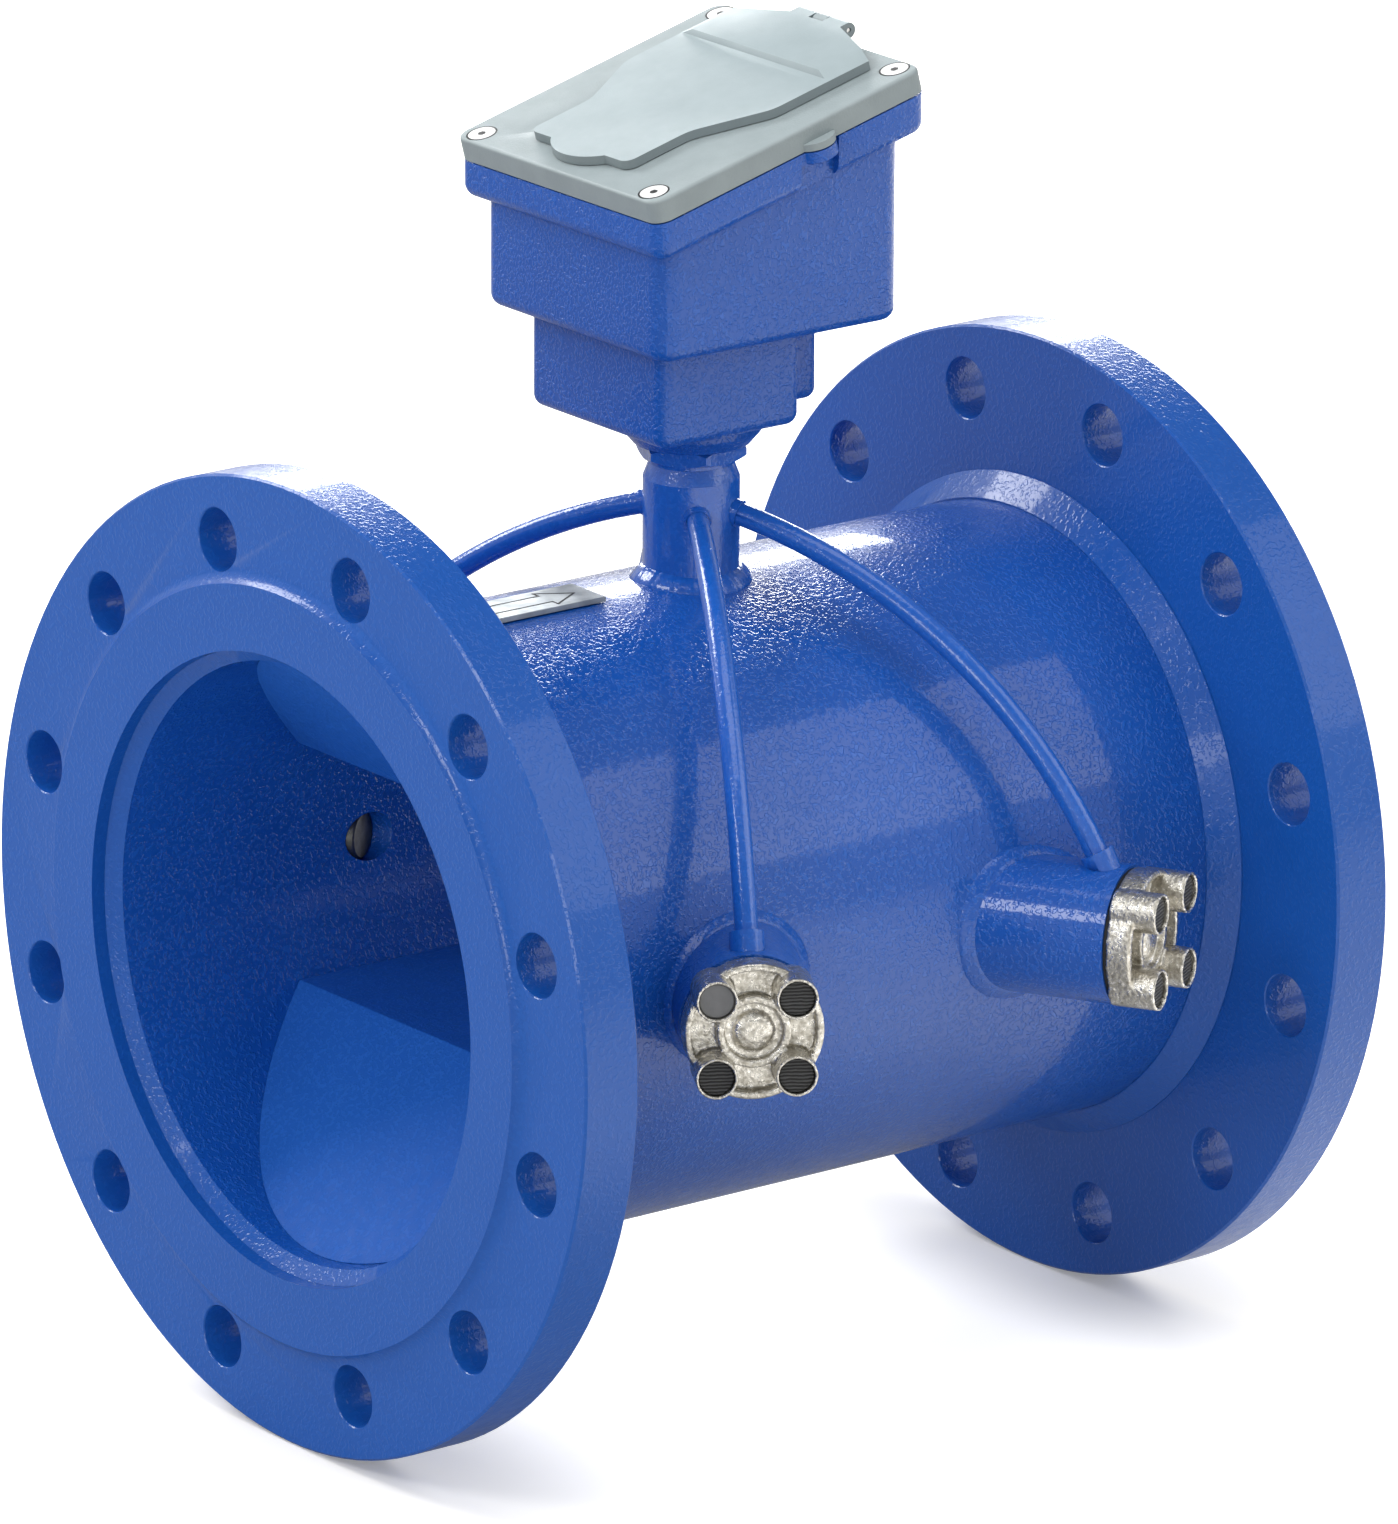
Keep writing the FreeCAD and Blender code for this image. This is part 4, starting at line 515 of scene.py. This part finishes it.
# %% [markdown]
# ## Softening the CAD edges
# A drawn edge is perfectly sharp, and a real one never is: paint, casting sand and a file all round
# it, and the thin bright line that follows is most of what makes a part look made. Each CAD node is
# copied, its doubled points are merged and its flat faces joined, and a small bevel runs along
# whatever still meets at an angle. The copy stands for the node, which stays for the physics.
# %% Copy and soften one node
merge_distance = 2e-6
flat_angle, smooth_angle, bevel_angle = math.radians(0.6), math.radians(30), math.radians(32)


def clean_copy(node, name):
    """A new object from a node's mesh, with its seams joined and each flat area made one face."""
    work = bmesh.new()
    work.from_mesh(nodes[node].data)
    bmesh.ops.remove_doubles(work, verts=work.verts, dist=merge_distance)
    bmesh.ops.dissolve_limit(work, angle_limit=flat_angle, verts=work.verts, edges=work.edges)
    data = bpy.data.meshes.new(name)
    work.to_mesh(data)
    work.free()
    data.shade_smooth()
    data.set_sharp_from_angle(angle=smooth_angle)
    data.materials.clear()
    piece = bpy.data.objects.new(name, data)
    bpy.context.scene.collection.objects.link(piece)
    return piece


def soften(piece, width_mm):
    """A bevel that only takes sharp edges, with normals that keep the flats flat."""
    bevel = piece.modifiers.new("soft_edges", "BEVEL")
    bevel.width = width_mm * MM
    bevel.segments = 2
    bevel.limit_method = "ANGLE"
    bevel.angle_limit = bevel_angle
    bevel.harden_normals = True
    bevel.miter_outer = "MITER_ARC"


print("ready to copy", len(nodes), "nodes")

# %% Finish, body and slot of a piece
def body_holding(node):
    return next(name for name, held in frame["record"]["behaviour"]["bodies"].items() if node in held)


def slot_of(node):
    return next(part["material_slot"] for part in frame["record"]["subparts"] if part["node"] == node)


def finished(piece, finish, body, slot, *stands_for):
    """Give a new piece its finish and its body, and hide the nodes it stands for; slot is not used."""
    if not piece.data.materials:
        piece.data.materials.append(finishes[finish])
    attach(piece, body)
    if stands_for:
        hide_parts(*stands_for)
    return piece


done = set()


def dress(finish, width_mm, *names):
    """Let a softened copy in one finish stand for each node; a width of 0 leaves it unsoftened."""
    for node in names:
        piece = clean_copy(node, node + "_skin")
        if width_mm:
            soften(piece, width_mm)
        finished(piece, finish, body_holding(node), slot_of(node), node)
        done.add(node)


print("ready to dress")

# %% [markdown]
# ## Dressing the pieces
# Every node now gets its finish and a bevel that suits how it was made: wide on the flanges and
# the cast head, a hair on small screws, and none on welds, which are round already, or on seals and
# panes too thin for one. The caps and the welds on the pipe are made in their own ways further on.
# %% Pipework
dress("pipe_paint", 0.4, "measuring_pipe")
dress("flange_paint", 0.7, "inlet_flange", "outlet_flange")
dress("flange_paint", 0, "inlet_back_weld", "outlet_back_weld", "inlet_face_weld", "outlet_face_weld")
dress("plate_paint_with_painted_light", 0.4, "upper_flow_plate", "lower_flow_plate")
dress("tube_paint", 0.5, "neck_tube")
dress("tube_paint", 0, "conduit_welds")
dress("plate_metal", 0.15, "flow_arrow_plate")
print(len(done), "nodes dressed")

# %% Head
dress("tube_paint", 0.5, "lock_nut")
dress("casting_paint", 0.5, "head_housing")
dress("black_rubber", 0, "lid_gasket")
dress("lid_coat_with_painted_shade", 0.5, "lid_frame")
dress("flap_coat_with_painted_shade", 0.6, "cover_flap")
dress("white_plastic", 0.15, "lid_screws")
dress("turned_steel", 0.2, "hinge_pin")
dress("clear_pane", 0, "window_pane")
dress("display_dark", 0.3, "display_module")
dress("board_green", 0.2, "main_board")
dress("nickel", 0.2, "board_spacers")
dress("black_plastic", 0.5, "battery_cradle")
dress("cell_wrap", 0.5, "battery_pack")
dress("terminal_green", 0.4, "terminal_block")
dress("nickel", 0.3, "cable_gland", "gland_nut")
dress("black_rubber", 0.3, "gland_insert")
print(len(done), "nodes dressed")

# %% Wells
sides = ("inlet_near", "outlet_near", "inlet_far", "outlet_far")
dress("black_rubber", 0, "cap_gaskets", "transducer_seals")
dress("zinc", 0.2, "cap_screws")
dress("ribbed_black_with_painted_shade", 0.2, "boss_plugs")
dress("grey_seal", 0.2, "seal_plug")
for side in sides:
    dress("pipe_paint", 0.5, side + "_well")
    dress("tube_paint", 0, side + "_conduit")
    dress("probe_steel_in_painted_shade", 0.2, side + "_transducer")
print(len(done), "nodes dressed; still to come:", sorted(set(nodes) - done))

# %% [markdown]
# ## Weld beads on the pipe
# Each well and the neck meet the round pipe in a saddle-shaped line, and a welder fills the corner
# all the way round. The bead is a strip of cross-sections: for every angle round the small tube,
# the line where it meets the pipe is solved exactly, and the section is laid on it. The leg wanders
# a little, as it does when the torch is moved by hand.
# %% Rings of points round an axis
def spokes(axis, count):
    """Each angle round an axis, with the direction straight out from it there."""
    one = axis.orthogonal().normalized()
    two = axis.cross(one)
    turns = [2 * math.pi * i / count for i in range(count)]
    return [(turn, one * math.cos(turn) + two * math.sin(turn)) for turn in turns]


def ring_faces(count, width):
    """Faces that join count closed sections of width points each, the last to the first."""
    faces = []
    for i in range(count):
        here, after = i * width, (i + 1) % count * width
        faces += [(here + k, here + (k + 1) % width, after + (k + 1) % width, after + k)
                  for k in range(width)]
    return faces


def joined(name, parts):
    """One mesh object from several lists of vertices and faces."""
    vertices, faces = [], []
    for points, sides_of_part in parts:
        base = len(vertices)
        vertices += points
        faces += [tuple(base + number for number in side) for side in sides_of_part]
    made = mesh_object(name, vertices, faces, smooth=True)
    work = bmesh.new()
    work.from_mesh(made.data)
    bmesh.ops.recalc_face_normals(work, faces=work.faces)
    work.to_mesh(made.data)
    work.free()
    made.data.set_sharp_from_angle(angle=math.radians(40))
    return made


print("a ring of 64 squares has", len(ring_faces(64, 4)), "faces")

# %% A bead round a tube that stands on the pipe
pipe_radius = (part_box("measuring_pipe")[1].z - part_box("measuring_pipe")[0].z) / 2
middle = Vector(((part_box("inlet_flange")[0].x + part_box("outlet_flange")[1].x) / 2, 0, 0))
root, buried_toe, toe = 0.4 * MM, 0.3 * MM, 0.12 * MM
bead_crown = ((0.74, 0.36), (0.55, 0.56), (0.35, 0.75))  # out from the tube and up, in legs


def on_pipe(axis, side, radius, pipe):
    """Where a line along the tube, radius away on the given side, meets a pipe of that radius."""
    start = side * radius
    a = axis.y ** 2 + axis.z ** 2
    b = 2 * (start.y * axis.y + start.z * axis.z)
    c = start.y ** 2 + start.z ** 2 - pipe ** 2
    travel = (-b + math.sqrt(b * b - 4 * a * c)) / (2 * a)
    return middle + start + axis * travel


def saddle_bead(axis, radius, leg, count=144):
    """Vertices and faces of one bead; the section runs from the pipe's toe to the tube's toe."""
    points = []
    for turn, side in spokes(axis, count):
        ripple = (0.05 * math.sin(turn * 3 + 1) + 0.02 * math.sin(turn * 31)
                  + 0.02 * math.sin(turn * 47 + 2))
        here = leg * (1 + ripple)
        section = [(-root, -root), (here, -buried_toe), (here, toe)]
        section += [(here * out, here * up) for out, up in bead_crown]
        section += [(toe, here), (-root, here)]
        points += [on_pipe(axis, side, radius + out, pipe_radius + up) for out, up in section]
    return points, ring_faces(count, len(section))


print("pipe radius", round(pipe_radius, 4))

# %% Beads at the wells and the neck
well_leg, neck_leg = 2.9 * MM, 4.4 * MM
well_angles = (60, 120, 240, 300)
well_axes = [Vector((math.cos(math.radians(a)), math.sin(math.radians(a)), 0)) for a in well_angles]
well_radius = (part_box("inlet_near_well")[1].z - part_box("inlet_near_well")[0].z) / 2
well_beads = joined("well_beads", [saddle_bead(axis, well_radius, well_leg) for axis in well_axes])
finished(well_beads, "pipe_paint", "meter_body", "blue_paint", "well_welds")
neck_radius = (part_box("neck_tube")[1].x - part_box("neck_tube")[0].x) / 2
neck_bead = joined("neck_bead", [saddle_bead(Vector((0, 0, 1)), neck_radius, neck_leg)])
finished(neck_bead, "tube_paint", "meter_body", "blue_paint", "neck_weld")
print("beads:", len(well_beads.data.polygons) + len(neck_bead.data.polygons), "faces")

# %% [markdown]
# ## Lid screws
# Each white screw head sits in a counterbore. The thin gap round it and the deep hexagon in its
# middle hold shadow, so a black ring on the head's rim and a black hexagon in the socket, just
# proud of the surface, are put there as painted shadow; those two dark lines are what make it read
# as a screw from a distance. The screws' own mesh says where they are: each loose part of it is
# one screw.
# %% Find the screws
def loose_parts(mesh):
    """The middle and the points of every separate part of a mesh."""
    work = bmesh.new()
    work.from_mesh(mesh)
    bmesh.ops.remove_doubles(work, verts=work.verts, dist=merge_distance)
    left, found = set(work.verts), []
    while left:
        stack, part = [left.pop()], []
        while stack:
            vertex = stack.pop()
            part.append(vertex.co.copy())
            for edge in vertex.link_edges:
                other = edge.other_vert(vertex)
                if other in left:
                    left.remove(other)
                    stack.append(other)
        found.append((sum(part, Vector()) / len(part), part))
    work.free()
    return found


screws = loose_parts(nodes["lid_screws"].data)
print(len(screws), "screws found")

# %% Painted shadow in the gaps and sockets
gap_width, gap_depth = 0.5 * MM, 0.3 * MM
socket_radius, socket_depth = 1.5 * MM, 0.9 * MM
proud = 0.04 * MM
pinhole = 0.02 * MM  # a turned section stays just clear of its axis


def turned(foot, axis, inner, outer, depth, count):
    """A ring with count sides round an axis, from depth below the foot to just proud of it."""
    section = [(inner, -depth), (outer, -depth), (outer, proud), (inner, proud)]
    points = [foot + out * radius + axis * height
              for _, out in spokes(axis, count) for radius, height in section]
    return points, ring_faces(count, len(section))


painted_shadows = []
for where, part in screws:
    top = max(point.dot(lid_up) for point in part)
    head = max(((point - where) - lid_up * (point - where).dot(lid_up)).length for point in part)
    crown = where + lid_up * (top - where.dot(lid_up))
    # painted shadow: a black ring on the rim of the head and a black hexagon in its socket
    painted_shadows.append(turned(crown, lid_up, head - gap_width, head, gap_depth, 64))
    painted_shadows.append(turned(crown, lid_up, pinhole, socket_radius, socket_depth, 6))
finished(joined("screw_painted_shadows", painted_shadows), "black_plastic", "meter_body", "black_plug")
print(len(painted_shadows), "gaps and sockets")

# %% [markdown]
# ## Cast caps
# The caps are small castings left bare. Sand rounds every inside corner and leaves a pebbled skin,
# which a bevel can't give. Rebuilding the mesh from small cubes and then relaxing it lets all the
# edges and corners run into each other at once, as molten metal does.
# %% Caps
cube_size, relax_rounds = 0.5 * MM, 3


def cast_skin(node):
    """Let a copy with run-together edges stand for a node, in bare cast metal."""
    piece = clean_copy(node, node + "_casting")
    rebuild = piece.modifiers.new("rebuild", "REMESH")
    rebuild.mode = "VOXEL"
    rebuild.voxel_size = cube_size
    relax = piece.modifiers.new("relax", "SMOOTH")
    relax.factor = 0.5
    relax.iterations = relax_rounds
    skin = bpy.data.meshes.new_from_object(piece.evaluated_get(bpy.context.evaluated_depsgraph_get()))
    piece.modifiers.clear()
    piece.data = skin
    skin.shade_smooth()
    return finished(piece, "cast_silver", body_holding(node), slot_of(node), node)


for side in sides:
    casting = cast_skin(side + "_cap")
    print(casting.name, len(casting.data.polygons), "faces")

# %% [markdown]
# ## The flow arrow
# The plate on top of the pipe carries a plain outlined arrow, printed so that the fitter mounts the
# meter the right way round. A closed line of thin flat strips, a twentieth of a millimetre proud,
# stays crisp at any distance and needs no picture file.
# %% Arrow
plate_low, plate_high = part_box("flow_arrow_plate")
line_width, print_height = 0.8 * MM, 0.05 * MM
head_length, head_half, shaft_half = 12 * MM, 7.3 * MM, 4 * MM
tip, tail = plate_high.x - 6.5 * MM, plate_low.x + 8 * MM
barb = tip - head_length
outline = [(tip, 0), (barb, head_half), (barb, shaft_half), (tail, shaft_half),
           (tail, -shaft_half), (barb, -shaft_half), (barb, -head_half)]


def printed_line(points, width, z):
    """Flat strips along a closed line, each a little longer than its side so that corners fill."""
    lift = Vector((0, 0, print_height))
    strips = []
    for (x0, y0), (x1, y1) in zip(points, points[1:] + points[:1]):
        along = Vector((x1 - x0, y1 - y0, 0)).normalized() * (width / 2)
        across = Vector((-along.y, along.x, 0))
        start, end = Vector((x0, y0, z)) - along, Vector((x1, y1, z)) + along
        corners = [start - across, end - across, end + across, start + across]
        strips.append((corners + [corner + lift for corner in corners],
                       [(3, 2, 1, 0), (4, 5, 6, 7), (0, 1, 5, 4), (1, 2, 6, 5), (2, 3, 7, 6), (3, 0, 4, 7)]))
    return strips


arrow = joined("flow_arrow_print", printed_line(outline, line_width, plate_high.z))
finished(arrow, "arrow_ink", "meter_body", "plate_aluminium")
print("arrow from x", round(tail, 4), "to", round(tip, 4))
